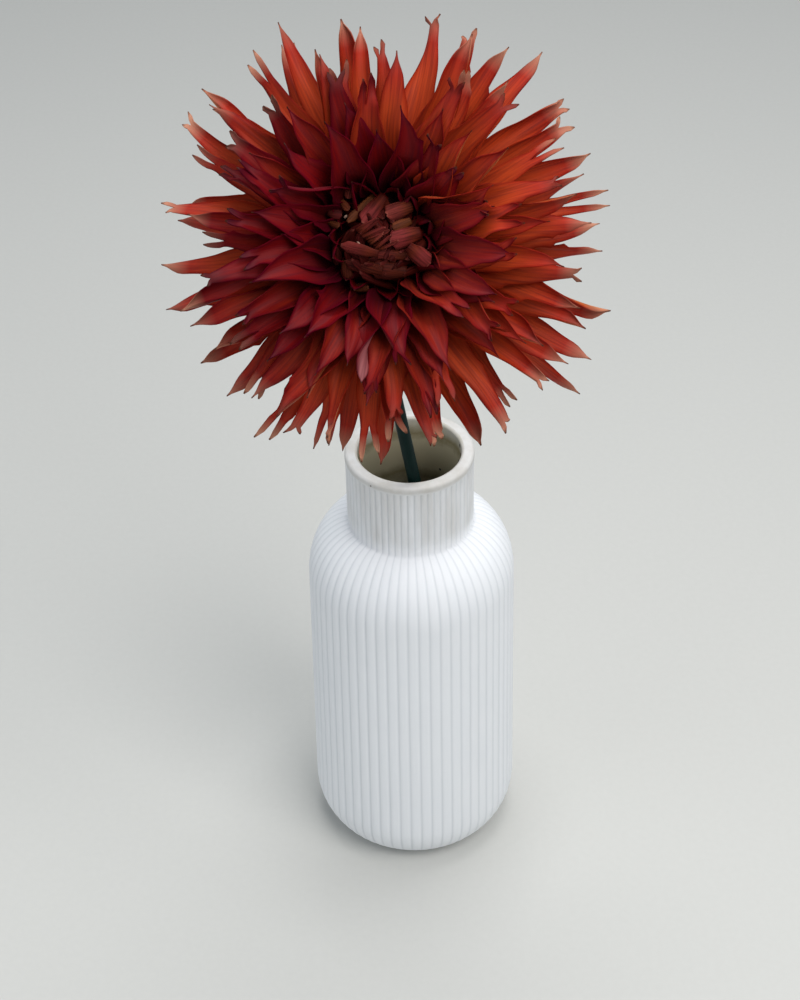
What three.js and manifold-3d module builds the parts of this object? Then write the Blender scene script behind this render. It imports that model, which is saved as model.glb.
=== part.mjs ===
// A cut cactus dahlia with split ray tips, standing in a white ribbed bottle vase.
// Millimetres, +Z up. The origin is the centre of the vase's base, on the table.
import * as THREE from 'three';
import { mergeVertices } from 'three/addons/utils/BufferGeometryUtils.js';
import Module from 'manifold-3d';

const wasm = await Module();
wasm.setup();

// ---------- driving dimensions ----------

// vase, outside
const VASE_HEIGHT = 226;
const SHOULDER_RADIUS = 48;
const BASE_RADIUS = 49.6;
const FOOT_FLAT_RADIUS = 30.6;
const FOOT_CURVE_HEIGHT = 25.3;
const SHOULDER_START = 156.5;
const NECK_START = 187;
const NECK_RADIUS = 29;
const SHOULDER_SWEEP = 1.35;
const LIP_HEIGHT = 3.6;
const LIP_ROUND = 1.6;
const RIB_COUNT = 60;
const RIB_DEPTH = 0.7;
const RIB_FADE_START = 3;
const RIB_FADE_END = 12;
const LIP_START = VASE_HEIGHT - LIP_HEIGHT;

// vase, inside
const MOUTH_RADIUS = 23.4;
const MOUTH_CHAMFER = 1.6;
const WALL = 5.4;
const FLOOR = 6;
const CAVITY_SHOULDER_START = 154.5;
const CAVITY_NECK_START = 183;
const CAVITY_SIDES = 30;

// water
const WATER_LEVEL = 128;
const GAP = 0.3;

// stem: it stands in the corner of the floor, leans on the rim, then nods into the head
const STEM_FOOT_Z = 8.8;
const STEM_FOOT_RADIUS = 3.1;
const STEM_TOP_RADIUS = 2.5;
const STEM_SIDES = 8;
const RIM_CONTACT = new THREE.Vector3(2.3, -19.7, 221);
const STEM_LEAN = new THREE.Vector3(-0.149, -0.12, 1);
const STRAIGHT_END_Z = 285;
const STEM_BEND_PULL = 38;
const HEAD_BEND_PULL = 26;

// head: its own axis is +Z before it is nodded forward and turned
const HEAD_CENTRE = new THREE.Vector3(-7.4, -72, 380);
const HEAD_NOD = THREE.MathUtils.degToRad(60);
const HEAD_TURN = THREE.MathUtils.degToRad(-6);
const GOLDEN_ANGLE = Math.PI * (3 - Math.sqrt(5));
const RECEPTACLE_TOP = 8;
const RECEPTACLE_BOTTOM = -12;
const RECEPTACLE_RADIUS = 20.5;

// ray florets: from those round the unopened centre to those behind the head, angles in degrees
const RAY_COUNT = 126;
const RAY_SEED = 2141;
const RAY_FIRST_AZIMUTH = 45;
const RAY_THICKNESS = 1.4;
const INNER_RAY = {
  rootRadius: 18.6, rootHeight: 3, startPolar: 12, endPolar: 62, length: 31, width: 17.5, fold: 0.5,
};
const OUTER_RAY = {
  rootRadius: 12.5, rootHeight: -8, startPolar: 88, endPolar: 106, length: 77, width: 12.6, fold: 0.36,
};
const RAY_SWAY = {
  azimuth: 6, endPolar: 7, length: 0.08, width: 0.12, fold: 0.12, roll: 22, sideBend: 11,
};
const FORKED_SHARE = 0.5;
const FORK_MIN = 6;
const FORK_MAX = 12;

// unopened florets of the centre, from its middle to its edge
const CENTRE_COUNT = 28;
const CENTRE_SEED = 911;
const CENTRE_RADIUS = 17.5;
const CENTRE_TOP = 28;
const CENTRE_EYE_OFFSET = 5;
const CENTRE_THICKNESS = 1.4;
const MIDDLE_FLORET = { length: 6.5, width: 3.4, climb: 0.25 };
const EDGE_FLORET = { length: 15, width: 7, climb: 1.2 };

// calyx and bracts
const CALYX_DEPTH = 11;
const CALYX_RADIUS = 11;
const BRACT_COUNT = 8;
const BRACT_SEED = 77;
const BRACT_THICKNESS = 1.2;

// ---------- small helpers ----------

const lerp = THREE.MathUtils.lerp;
const smooth = THREE.MathUtils.smoothstep;
const rad = THREE.MathUtils.degToRad;

// repeatable draws from 0 to 1 (Park-Miller)
function seededDraws(seed) {
  let state = seed;
  return () => {
    state = (state * 16807) % 2147483647;
    return state / 2147483647;
  };
}

// a closed three.js geometry as a solid that can be joined and cut
function solidOf(geometry) {
  const plain = geometry.clone();
  plain.deleteAttribute('normal');
  plain.deleteAttribute('uv');
  const merged = mergeVertices(plain, 1e-4);
  return new wasm.Manifold(new wasm.Mesh({
    numProp: 3,
    vertProperties: new Float32Array(merged.attributes.position.array),
    triVerts: new Uint32Array(merged.index.array),
  }));
}

function geometryOf(solid) {
  const mesh = solid.getMesh();
  const geometry = new THREE.BufferGeometry();
  geometry.setAttribute('position', new THREE.BufferAttribute(new Float32Array(mesh.vertProperties), 3));
  geometry.setIndex(new THREE.BufferAttribute(new Uint32Array(mesh.triVerts), 1));
  geometry.computeVertexNormals();
  return geometry;
}

function joined(geometries) {
  return geometries.map(solidOf).reduce((whole, piece) => whole.add(piece));
}

// the largest skin of a fused solid: its sealed hollows are filled and its loose scraps dropped
function oneBody(solid) {
  return solid.decompose().reduce((best, piece) => (piece.volume() > best.volume() ? piece : best));
}

function namedMesh(name, geometry, color, roughness) {
  const material = new THREE.MeshStandardMaterial({ color, roughness, metalness: 0 });
  const mesh = new THREE.Mesh(geometry, material);
  mesh.name = name;
  return mesh;
}

// a lathed solid that stands along +Z, from [radius, height] pairs that start and end on the axis
function turned(profile, sides) {
  const points = profile.map(([r, z]) => new THREE.Vector2(r, z));
  return new THREE.LatheGeometry(points, sides).rotateX(Math.PI / 2);
}

// a skin over rows of points, closed by a flat cap at its start and by `ends` at its other end:
// no point for a flat cap, one for a tip, two for the tips of a fork over a four-point row
function skinned(rows, ends = []) {
  const count = rows[0].length;
  const points = [...rows.flat(), ...ends];
  const faces = [];
  for (let i = 0; i + 1 < rows.length; i++) {
    for (let j = 0; j < count; j++) {
      const a = i * count + j;
      const b = i * count + (j + 1) % count;
      faces.push([a, b, b + count], [a, b + count, a + count]);
    }
  }
  const last = (rows.length - 1) * count;
  const tip = rows.length * count;
  for (let j = 1; j + 1 < count; j++) {
    faces.push([0, j + 1, j]);
    if (ends.length === 0) {
      faces.push([last, last + j, last + j + 1]);
    }
  }
  if (ends.length === 1) {
    for (let j = 0; j < count; j++) {
      faces.push([last + j, last + (j + 1) % count, tip]);
    }
  }
  if (ends.length === 2) {
    const [left, low, right, high] = [last, last + 1, last + 2, last + 3];
    faces.push([left, low, tip], [low, high, tip], [high, left, tip]);
    faces.push([low, right, tip + 1], [right, high, tip + 1], [high, low, tip + 1]);
  }
  const geometry = new THREE.BufferGeometry().setFromPoints(points);
  geometry.setIndex(faces.flat());
  return geometry;
}

// ---------- vase ----------

function shoulderArc(radius, neckRadius, start, end, steps) {
  const arc = [];
  for (let i = 1; i <= steps; i++) {
    const angle = SHOULDER_SWEEP * i / steps;
    const inward = (1 - Math.cos(angle)) / (1 - Math.cos(SHOULDER_SWEEP));
    const upward = Math.sin(angle) / Math.sin(SHOULDER_SWEEP);
    arc.push([lerp(radius, neckRadius, inward), lerp(start, end, upward)]);
  }
  return arc;
}

function footArc(flatRadius, wallRadius, bottom, height, steps) {
  const arc = [];
  for (let i = 0; i <= steps; i++) {
    const angle = Math.PI / 2 * i / steps;
    arc.push([
      lerp(flatRadius, wallRadius, Math.sin(angle)),
      bottom + height * (1 - Math.cos(angle)),
    ]);
  }
  return arc;
}

// the ribs are convex reeds with a narrow groove between each two, from the foot to under the lip
function carveRibs(geometry) {
  const position = geometry.attributes.position;
  const point = new THREE.Vector3();
  for (let i = 0; i < position.count; i++) {
    point.fromBufferAttribute(position, i);
    const turn = Math.atan2(point.y, point.x) / (2 * Math.PI) * 2 * RIB_COUNT;
    const isGroove = Math.abs(Math.round(turn)) % 2 === 1;
    const reach = smooth(point.z, RIB_FADE_START, RIB_FADE_END) * (point.z < LIP_START + 0.1 ? 1 : 0);
    const radius = Math.hypot(point.x, point.y);
    if (isGroove && radius > 1) {
      const scale = 1 - RIB_DEPTH * reach / radius;
      position.setXYZ(i, point.x * scale, point.y * scale, point.z);
    }
  }
  return geometry;
}

function cavityProfile(inset, top) {
  const wall = WALL + inset;
  return [
    [0, FLOOR + inset],
    ...footArc(FOOT_FLAT_RADIUS - inset, BASE_RADIUS - wall, FLOOR + inset, FOOT_CURVE_HEIGHT - FLOOR, 3),
    ...top,
  ];
}

function makeVase() {
  const outside = [
    [0, 0],
    ...footArc(FOOT_FLAT_RADIUS, BASE_RADIUS, 0, FOOT_CURVE_HEIGHT, 3),
    [SHOULDER_RADIUS, SHOULDER_START],
    ...shoulderArc(SHOULDER_RADIUS, NECK_RADIUS, SHOULDER_START, NECK_START, 4),
    [NECK_RADIUS, LIP_START],
    [NECK_RADIUS + 0.2, VASE_HEIGHT - LIP_ROUND],
    [NECK_RADIUS - LIP_ROUND, VASE_HEIGHT],
    [0, VASE_HEIGHT],
  ];
  const inside = cavityProfile(0, [
    [SHOULDER_RADIUS - WALL, CAVITY_SHOULDER_START],
    ...shoulderArc(SHOULDER_RADIUS - WALL, MOUTH_RADIUS, CAVITY_SHOULDER_START, CAVITY_NECK_START, 3),
    [MOUTH_RADIUS, VASE_HEIGHT - MOUTH_CHAMFER],
    [MOUTH_RADIUS + 2 * MOUTH_CHAMFER, VASE_HEIGHT + MOUTH_CHAMFER],
    [0, VASE_HEIGHT + MOUTH_CHAMFER],
  ]);
  const body = solidOf(carveRibs(turned(outside, 2 * RIB_COUNT)));
  return body.subtract(solidOf(turned(inside, CAVITY_SIDES)));
}

// ---------- stem ----------

function onLean(z) {
  return RIM_CONTACT.clone().addScaledVector(STEM_LEAN, z - RIM_CONTACT.z);
}

const headPlace = new THREE.Matrix4()
  .makeTranslation(HEAD_CENTRE)
  .multiply(new THREE.Matrix4().makeRotationZ(HEAD_TURN))
  .multiply(new THREE.Matrix4().makeRotationX(HEAD_NOD));
const headAxis = new THREE.Vector3(0, 0, 1).transformDirection(headPlace);

function stemPath() {
  const neckEnd = new THREE.Vector3(0, 0, RECEPTACLE_BOTTOM - CALYX_DEPTH + 2).applyMatrix4(headPlace);
  const bendStart = onLean(STRAIGHT_END_Z);
  const path = new THREE.CurvePath();
  path.add(new THREE.LineCurve3(onLean(STEM_FOOT_Z), bendStart));
  path.add(new THREE.CubicBezierCurve3(
    bendStart,
    bendStart.clone().addScaledVector(STEM_LEAN, STEM_BEND_PULL),
    neckEnd.clone().addScaledVector(headAxis, -HEAD_BEND_PULL),
    neckEnd,
  ));
  return path;
}

// rings square to the path, closer together where it bends
function makeStalk() {
  const path = stemPath();
  const stops = [0, 0.3, 0.6, 0.73, 0.79, 0.85, 0.9, 0.95, 1];
  const rows = stops.map((at) => {
    const centre = path.getPoint(at);
    const along = path.getTangent(at);
    const side = new THREE.Vector3(1, 0, 0);
    side.addScaledVector(along, -side.dot(along)).normalize();
    const front = new THREE.Vector3().crossVectors(along, side);
    const radius = lerp(STEM_FOOT_RADIUS, STEM_TOP_RADIUS, at);
    return ring(centre, side, front, radius, STEM_SIDES);
  });
  return skinned(rows);
}

function ring(centre, side, front, radius, sides) {
  const points = [];
  for (let k = 0; k < sides; k++) {
    const angle = 2 * Math.PI * k / sides;
    points.push(centre.clone()
      .addScaledVector(side, radius * Math.cos(angle))
      .addScaledVector(front, radius * Math.sin(angle)));
  }
  return points;
}

// the calyx cup and its reflexed bracts, about the head's axis, below the receptacle
function calyxPieces() {
  const top = RECEPTACLE_BOTTOM - GAP;
  const cup = turned([
    [0, top - CALYX_DEPTH],
    [4, top - CALYX_DEPTH],
    [0.64 * CALYX_RADIUS, top - 0.64 * CALYX_DEPTH],
    [CALYX_RADIUS, top - 2.5],
    [CALYX_RADIUS - 0.5, top],
    [0, top],
  ], 16);
  const bracts = [];
  const rand = seededDraws(BRACT_SEED);
  for (let i = 0; i < BRACT_COUNT; i++) {
    bracts.push(blade({
      azimuth: 2 * Math.PI * (i + 0.5 * (rand() - 0.5)) / BRACT_COUNT,
      rootRadius: CALYX_RADIUS - 2.5,
      rootHeight: top - 3,
      startPolar: rad(96),
      endPolar: rad(lerp(135, 160, rand())),
      length: lerp(17, 23, rand()),
      width: lerp(7, 8.5, rand()),
      claw: 0.7,
      fold: 0.2,
      roll: 0,
      sideBend: 0,
      thickness: BRACT_THICKNESS,
      fork: 0,
    }));
  }
  return [cup, ...bracts];
}

function makeStem() {
  const pieces = calyxPieces().map((piece) => piece.applyMatrix4(headPlace));
  return oneBody(joined([makeStalk(), ...pieces]));
}

// ---------- blades: ray florets, unopened florets and bracts ----------

// One blade about the head's axis. Its midline starts at the root and turns from startPolar to
// endPolar, measured from the axis. Across it is a shallow boat, thick at the keel and thin at
// its two edges. `fork` is the length of its two end prongs, or 0 for a single point.
const BLADE_STATIONS = [0, 0.27, 0.55, 0.84];

function blade(rule) {
  const outward = new THREE.Vector3(Math.cos(rule.azimuth), Math.sin(rule.azimuth), 0);
  const across = new THREE.Vector3(-Math.sin(rule.azimuth), Math.cos(rule.azimuth), 0);
  const axis = new THREE.Vector3(0, 0, 1);
  const steps = 24;
  const midline = [];
  const centre = outward.clone().multiplyScalar(rule.rootRadius).addScaledVector(axis, rule.rootHeight);
  for (let i = 0; i <= steps; i++) {
    const s = i / steps;
    const polar = lerp(rule.startPolar, rule.endPolar, s);
    const swing = rule.sideBend * s;
    const along = outward.clone().multiplyScalar(Math.sin(polar) * Math.cos(swing))
      .addScaledVector(axis, Math.cos(polar))
      .addScaledVector(across, Math.sin(polar) * Math.sin(swing));
    midline.push({ centre: centre.clone(), along });
    centre.addScaledVector(along, rule.length / steps);
  }
  const frameAt = (s) => {
    const { centre: at, along } = midline[Math.round(s * steps)];
    const roll = rule.roll * s;
    const edge = across.clone().addScaledVector(along, -across.dot(along)).normalize();
    const face = new THREE.Vector3().crossVectors(along, edge);
    const side = edge.clone().multiplyScalar(Math.cos(roll)).addScaledVector(face, Math.sin(roll));
    const up = face.multiplyScalar(Math.cos(roll)).addScaledVector(edge, -Math.sin(roll));
    return { at, side, up };
  };
  const rows = BLADE_STATIONS.map((s) => {
    const { at, side, up } = frameAt(s);
    const half = rule.width / 2 * bladeWidth(s, rule.claw);
    const lift = half * rule.fold;
    const keel = rule.thickness / 2;
    const point = (x, y) => at.clone().addScaledVector(side, x).addScaledVector(up, y);
    return [point(-half, lift), point(0, -keel), point(half, lift), point(0, keel)];
  });
  const end = frameAt(1);
  if (rule.fork === 0) {
    return skinned(rows, [end.at]);
  }
  const spread = rule.fork * 0.32;
  const longTip = end.at.clone().addScaledVector(end.side, -spread);
  const shortTip = end.at.clone().addScaledVector(end.side, spread)
    .addScaledVector(midline[steps].along, -rule.fork * 0.35);
  return skinned(rows, [longTip, shortTip]);
}

// share of the full width: a narrow claw, the widest place before the middle, then a long taper
function bladeWidth(s, claw) {
  const widest = 0.42;
  const rise = lerp(claw, 1, smooth(s, 0, widest));
  const taper = 1 - 0.86 * Math.max(0, (s - widest) / (1 - widest)) ** 0.88;
  return rise * taper;
}

// t runs from 0, round the unopened centre, to 1, behind the head
function rayRule(i, rand) {
  const t = (i + 0.5) / RAY_COUNT;
  const between = (name, power = 1) => lerp(INNER_RAY[name], OUTER_RAY[name], t ** power);
  const sway = (name) => RAY_SWAY[name] * (2 * rand() - 1);
  const rule = {
    azimuth: i * GOLDEN_ANGLE + rad(RAY_FIRST_AZIMUTH + sway('azimuth')),
    rootRadius: between('rootRadius'),
    rootHeight: between('rootHeight'),
    startPolar: rad(between('startPolar')),
    endPolar: rad(between('endPolar', 0.95) + sway('endPolar')),
    length: between('length', 0.55) * (1 + sway('length')),
    width: between('width', 0.6) * (1 + sway('width')),
    fold: between('fold') + sway('fold'),
    roll: rad(sway('roll')),
    sideBend: rad(sway('sideBend')),
    claw: 0.4,
    thickness: RAY_THICKNESS,
  };
  const isForked = rand() < FORKED_SHARE;
  const forkSize = lerp(FORK_MIN, FORK_MAX, rand());
  return { ...rule, fork: isForked ? forkSize : 0 };
}

function makeRayFlorets() {
  const receptacle = turned([
    [0, RECEPTACLE_BOTTOM],
    [9, RECEPTACLE_BOTTOM],
    [15, -6],
    [RECEPTACLE_RADIUS - 0.5, 0],
    [RECEPTACLE_RADIUS, 5],
    [RECEPTACLE_RADIUS - 1, RECEPTACLE_TOP],
    [0, RECEPTACLE_TOP],
  ], 24);
  const rand = seededDraws(RAY_SEED);
  const rays = [];
  for (let i = 0; i < RAY_COUNT; i++) {
    rays.push(blade(rayRule(i, rand)));
  }
  const clearance = turned(centreProfile(2 * GAP), 20);
  const calyxRoom = turned([
    [0, RECEPTACLE_BOTTOM - 30],
    [CALYX_RADIUS + 3, RECEPTACLE_BOTTOM - 30],
    [CALYX_RADIUS + 0.5, RECEPTACLE_BOTTOM],
    [0, RECEPTACLE_BOTTOM],
  ], 16);
  const head = joined([receptacle, ...rays]);
  return oneBody(head.subtract(solidOf(clearance)).subtract(solidOf(calyxRoom)));
}

// ---------- unopened florets of the centre ----------

// the dome that they fold into, grown by a margin
function centreProfile(margin) {
  const profile = [[0, RECEPTACLE_TOP + GAP - margin]];
  const steps = 5;
  for (let i = 0; i <= steps; i++) {
    const angle = Math.PI / 2 * i / steps;
    const bulge = i === 0 ? 0.9 : 1;
    profile.push([
      (CENTRE_RADIUS * bulge + margin) * Math.cos(angle) ** 0.8,
      lerp(RECEPTACLE_TOP + GAP, CENTRE_TOP, Math.sin(angle)) + margin,
    ]);
  }
  profile[1][1] = RECEPTACLE_TOP + GAP - margin;
  profile[profile.length - 1][0] = 0;
  return profile;
}

// each floret lies over the dome and points inward past the swirl's eye, which is off the axis
function centreFloret(i, rand) {
  const spread = Math.sqrt((i + 0.5) / CENTRE_COUNT);
  const azimuth = i * GOLDEN_ANGLE;
  const foot = dome(spread * CENTRE_RADIUS * 0.9, azimuth);
  const eye = dome(CENTRE_EYE_OFFSET, Math.PI);
  const inward = eye.sub(foot).setZ(0).normalize();
  const swirl = rad(lerp(28, 50, rand()));
  const heading = inward.applyAxisAngle(new THREE.Vector3(0, 0, 1), swirl);
  const between = (name, power = 1) => lerp(MIDDLE_FLORET[name], EDGE_FLORET[name], spread ** power);
  const climb = between('climb', 2) + 0.2 * rand();
  const along = heading.setZ(climb).normalize();
  const side = new THREE.Vector3().crossVectors(new THREE.Vector3(0, 0, 1), along).normalize();
  const up = new THREE.Vector3().crossVectors(along, side);
  const length = between('length') * lerp(0.85, 1.15, rand());
  const half = between('width') / 2;
  const rows = [-0.35, 0.45].map((s) => {
    const at = foot.clone().addScaledVector(along, s * length).addScaledVector(up, -1.6 * s * s * spread);
    return [
      at.clone().addScaledVector(side, -half),
      at.clone().addScaledVector(up, -CENTRE_THICKNESS / 2),
      at.clone().addScaledVector(side, half),
      at.clone().addScaledVector(up, CENTRE_THICKNESS / 2),
    ];
  });
  const tip = foot.clone().addScaledVector(along, length).addScaledVector(up, -2 * spread);
  return skinned(rows, [tip]);
}

// a point on the dome of the centre, by its distance from the axis
function dome(distance, azimuth) {
  const share = Math.min(1, distance / CENTRE_RADIUS);
  const height = lerp(RECEPTACLE_TOP + 2, CENTRE_TOP - 5, Math.sqrt(1 - share * share));
  return new THREE.Vector3(distance * Math.cos(azimuth), distance * Math.sin(azimuth), height);
}

function makeCentreFlorets() {
  const core = turned([
    [0, RECEPTACLE_TOP + GAP],
    [CENTRE_RADIUS * 0.86, RECEPTACLE_TOP + GAP],
    [CENTRE_RADIUS * 0.88, 14],
    [CENTRE_RADIUS * 0.66, 19],
    [CENTRE_RADIUS * 0.3, 21.5],
    [0, 22],
  ], 16);
  const rand = seededDraws(CENTRE_SEED);
  const florets = [];
  for (let i = 0; i < CENTRE_COUNT; i++) {
    florets.push(centreFloret(i, rand));
  }
  const room = solidOf(turned(centreProfile(GAP), 20));
  return oneBody(joined([core, ...florets]).intersect(room));
}

// ---------- water ----------

function makeWater() {
  const body = turned(cavityProfile(GAP, [
    [lerp(BASE_RADIUS, SHOULDER_RADIUS, WATER_LEVEL / SHOULDER_START) - WALL - GAP, WATER_LEVEL],
    [0, WATER_LEVEL],
  ]), CAVITY_SIDES);
  const hole = new THREE.ExtrudeGeometry(
    new THREE.Shape().absarc(0, 0, STEM_FOOT_RADIUS + 2 * GAP, 0, 2 * Math.PI),
    { extrudePath: new THREE.LineCurve3(onLean(0), onLean(WATER_LEVEL + 10)), steps: 1, curveSegments: 6 },
  );
  return oneBody(solidOf(body).subtract(solidOf(hole)));
}

// ---------- the whole ----------

const group = new THREE.Group();
group.add(namedMesh('vase', geometryOf(makeVase()), '#e9edf2', 0.75));
group.add(namedMesh('water', geometryOf(makeWater()), '#cfd8d2', 0.1));
group.add(namedMesh('stem', geometryOf(makeStem()), '#123c38', 0.55));

const turn = new THREE.Group();
turn.position.copy(HEAD_CENTRE);
turn.rotation.z = HEAD_TURN;
const nod = new THREE.Group();
nod.rotation.x = HEAD_NOD;
turn.add(nod);
nod.add(namedMesh('ray_florets', geometryOf(makeRayFlorets()), '#a8261c', 0.6));
nod.add(namedMesh('centre_florets', geometryOf(makeCentreFlorets()), '#6e3732', 0.65));
group.add(turn);

export default group;
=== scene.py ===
# A cut cactus dahlia with split ray tips, standing in a white ribbed bottle vase: its finished looks.
# Blender works in metres. Real sizes are written in millimetres, times MM. +Z is up, and the origin
# is the centre of the vase's base, on the table.
import math

import bpy
import numpy as np
from bpy.props import FloatProperty, FloatVectorProperty, IntProperty, PointerProperty
from mathutils import Matrix, Vector


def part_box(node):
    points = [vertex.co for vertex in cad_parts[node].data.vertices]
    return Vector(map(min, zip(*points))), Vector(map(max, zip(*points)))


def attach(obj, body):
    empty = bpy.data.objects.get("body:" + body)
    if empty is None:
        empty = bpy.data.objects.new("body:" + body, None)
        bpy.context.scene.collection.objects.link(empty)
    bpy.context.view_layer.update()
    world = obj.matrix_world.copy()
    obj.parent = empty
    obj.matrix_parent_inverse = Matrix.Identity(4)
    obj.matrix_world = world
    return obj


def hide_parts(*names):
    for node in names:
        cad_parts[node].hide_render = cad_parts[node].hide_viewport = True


bl_info = {
    "name": "Dahlia in a Ribbed Vase",
    "version": (1, 0, 0),
    "blender": (4, 5, 0),
    "location": "3D View > Sidebar > Dahlia",
    "description": "Builds a cut cactus dahlia and its ribbed bottle vase round the packed model",
    "category": "Add Mesh",
}

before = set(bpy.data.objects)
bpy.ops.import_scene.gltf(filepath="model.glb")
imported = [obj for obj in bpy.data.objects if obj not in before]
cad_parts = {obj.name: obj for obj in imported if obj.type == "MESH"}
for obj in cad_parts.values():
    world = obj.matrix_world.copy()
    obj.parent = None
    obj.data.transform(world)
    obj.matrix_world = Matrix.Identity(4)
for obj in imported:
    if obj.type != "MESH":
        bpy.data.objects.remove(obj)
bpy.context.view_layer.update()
MM = 0.001
GOLDEN_ANGLE = math.pi * (3 - math.sqrt(5))

# ---------- places and sizes shared by several pieces, in millimetres and degrees ----------

VASE_HEIGHT = (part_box("vase")[1].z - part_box("vase")[0].z) / MM
SHOULDER_RADIUS = 48
BASE_RADIUS = 49.6
FOOT_FLAT_RADIUS = 30.6
FOOT_CURVE_HEIGHT = 25.3
SHOULDER_START = 156.5
NECK_START = 187
NECK_RADIUS = 29
SHOULDER_SWEEP = 1.35
LIP_START = VASE_HEIGHT - 3.6
LIP_ROUND = 1.6
MOUTH_RADIUS = 23.4
WALL = 5.4
FLOOR = 6
CAVITY_SHOULDER_START = 154.5
CAVITY_NECK_START = 183
WATER_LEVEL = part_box("water")[1].z / MM

STEM_FOOT_Z = 8.8
RIM_CONTACT = np.array([2.3, -19.7, 221])
STEM_LEAN = np.array([-0.149, -0.12, 1])
STRAIGHT_END_Z = 285
STEM_BEND_PULL = 38
HEAD_BEND_PULL = 26

HEAD_CENTRE = np.array([-7.4, -72, 380])
HEAD_NOD = 60
HEAD_TURN = -6
RECEPTACLE_TOP = 8
RECEPTACLE_BOTTOM = -12
RECEPTACLE_RADIUS = 20.5
CALYX_DEPTH = 11
CALYX_RADIUS = 11
CENTRE_RADIUS = 17.5
CENTRE_TOP = 28


# ---------- small helpers ----------

def lerp(a, b, t):
    return a + (b - a) * t


def smooth(x, low, high):
    t = np.clip((x - low) / (high - low), 0, 1)
    return t * t * (3 - 2 * t)


def unit(v):
    return v / np.maximum(np.linalg.norm(v, axis=-1, keepdims=True), 1e-12)


def seeded_draws(seed):
    """Repeatable draws from 0 to 1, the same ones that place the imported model's florets."""
    state = seed

    def draw():
        nonlocal state
        state = state * 16807 % 2147483647
        return state / 2147483647

    return draw


def linear(hex_colour):
    """An sRGB hex colour as linear red, green, blue and alpha."""
    shares = [int(hex_colour[k:k + 2], 16) / 255 for k in (1, 3, 5)]
    return (*[c / 12.92 if c <= 0.04045 else ((c + 0.055) / 1.055) ** 2.4 for c in shares], 1.0)


def colour_prop(name, description, hex_colour):
    return FloatVectorProperty(
        name=name, description=description, subtype="COLOR", size=4, min=0, max=1,
        default=linear(hex_colour))


def length_prop(name, description, millimetres):
    return FloatProperty(
        name=name, description=description, unit="LENGTH", min=0, default=millimetres * MM)


def power_prop(name, description, watts):
    return FloatProperty(name=name, description=description, unit="POWER", min=0, default=watts)


def angle_prop(name, description, degrees):
    return FloatProperty(
        name=name, description=description, subtype="ANGLE", default=math.radians(degrees))


# the sockets of a Mix node that mixes colours
MIX_FACTOR, MIX_A, MIX_B, MIX_COLOUR = 0, 6, 7, 2


def link(tree, source, socket):
    """Feeds a socket from another, or from a node: from its first output, or a mix's colour."""
    if isinstance(source, bpy.types.Node):
        source = source.outputs[MIX_COLOUR if source.bl_idname == "ShaderNodeMix" else 0]
    tree.links.new(source, socket)


def add(tree, kind, values=None, links=None, stops=None, **settings):
    """A node with its settings, its own values, what feeds it and a ramp's colour stops."""
    node = tree.nodes.new("ShaderNode" + kind)
    for name, value in settings.items():
        setattr(node, name, value)
    for socket, value in (values or {}).items():
        node.inputs[socket].default_value = value
    for socket, source in (links or {}).items():
        link(tree, source, node.inputs[socket])
    if stops:
        ramp = node.color_ramp
        while len(ramp.elements) < len(stops):
            ramp.elements.new(1)
        for element, (place, colour) in zip(ramp.elements, stops):
            element.position = place
            element.color = colour
    return node


def new_material(name):
    """A material with a lone Principled shader, and that shader."""
    material = bpy.data.materials.new(name)
    material.use_nodes = True
    shader = material.node_tree.nodes["Principled BSDF"]
    return material, material.node_tree, shader


def turned(profile, sides):
    """Points and faces of a closed lathe about +Z, from [radius, height] rows; ends lie on the axis."""
    rows = np.array(profile, float)
    angle = 2 * np.pi * np.arange(sides) / sides
    ring = np.stack([np.cos(angle), np.sin(angle)], 1)
    points = [[0, 0, rows[0, 1]]]
    for radius, height in rows[1:-1]:
        points.extend([radius * x, radius * y, height] for x, y in ring)
    points.append([0, 0, rows[-1, 1]])
    last = len(points) - 1
    faces = []
    for j in range(sides):
        k = (j + 1) % sides
        faces.append([0, 1 + k, 1 + j])
        for i in range(len(rows) - 3):
            a = 1 + i * sides
            faces.append([a + j, a + k, a + sides + k, a + sides + j])
        a = 1 + (len(rows) - 3) * sides
        faces.append([a + j, a + k, last])
    return np.array(points), faces


def new_piece(name, points, faces, material, values=None, uvs=None):
    """A smooth mesh object from points in millimetres, with its point values for the material."""
    mesh = bpy.data.meshes.new(name)
    mesh.from_pydata((np.asarray(points) * MM).tolist(), [], faces)
    mesh.shade_smooth()
    for key, numbers in (values or {}).items():
        numbers = np.asarray(numbers, np.float32)
        if numbers.ndim == 2:
            mesh.attributes.new(key, "FLOAT_VECTOR", "POINT").data.foreach_set("vector", numbers.ravel())
        else:
            mesh.attributes.new(key, "FLOAT", "POINT").data.foreach_set("value", numbers)
    if uvs is not None:
        layer = mesh.uv_layers.new(name="OFBake")
        layer.uv.foreach_set("vector", np.asarray(uvs, np.float32).ravel())
    mesh.materials.append(material)
    piece = bpy.data.objects.new(name, mesh)
    bpy.context.scene.collection.objects.link(piece)
    return piece


def head_matrix():
    """The head's own frame, whose +Z is the flower's axis, nodded forward and turned."""
    place = Matrix.Translation(Vector(HEAD_CENTRE))
    turn = Matrix.Rotation(math.radians(HEAD_TURN), 4, "Z")
    nod = Matrix.Rotation(math.radians(HEAD_NOD), 4, "X")
    return np.array(place @ turn @ nod)


def in_head(points):
    matrix = head_matrix()
    return points @ matrix[:3, :3].T + matrix[:3, 3]


# ---------- vase ----------

# how finely each stretch of the profile is stepped
FOOT_ROWS, WALL_ROWS, SHOULDER_ROWS, NECK_ROWS, LIP_ROWS = 12, 12, 18, 6, 5
CAVITY_FOOT_ROWS, CAVITY_SHOULDER_ROWS = 8, 12
SIDES_PER_REED = 8
# the underside's last row lies this far inside the foot's curve
FLAT_INSET = 2
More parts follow.
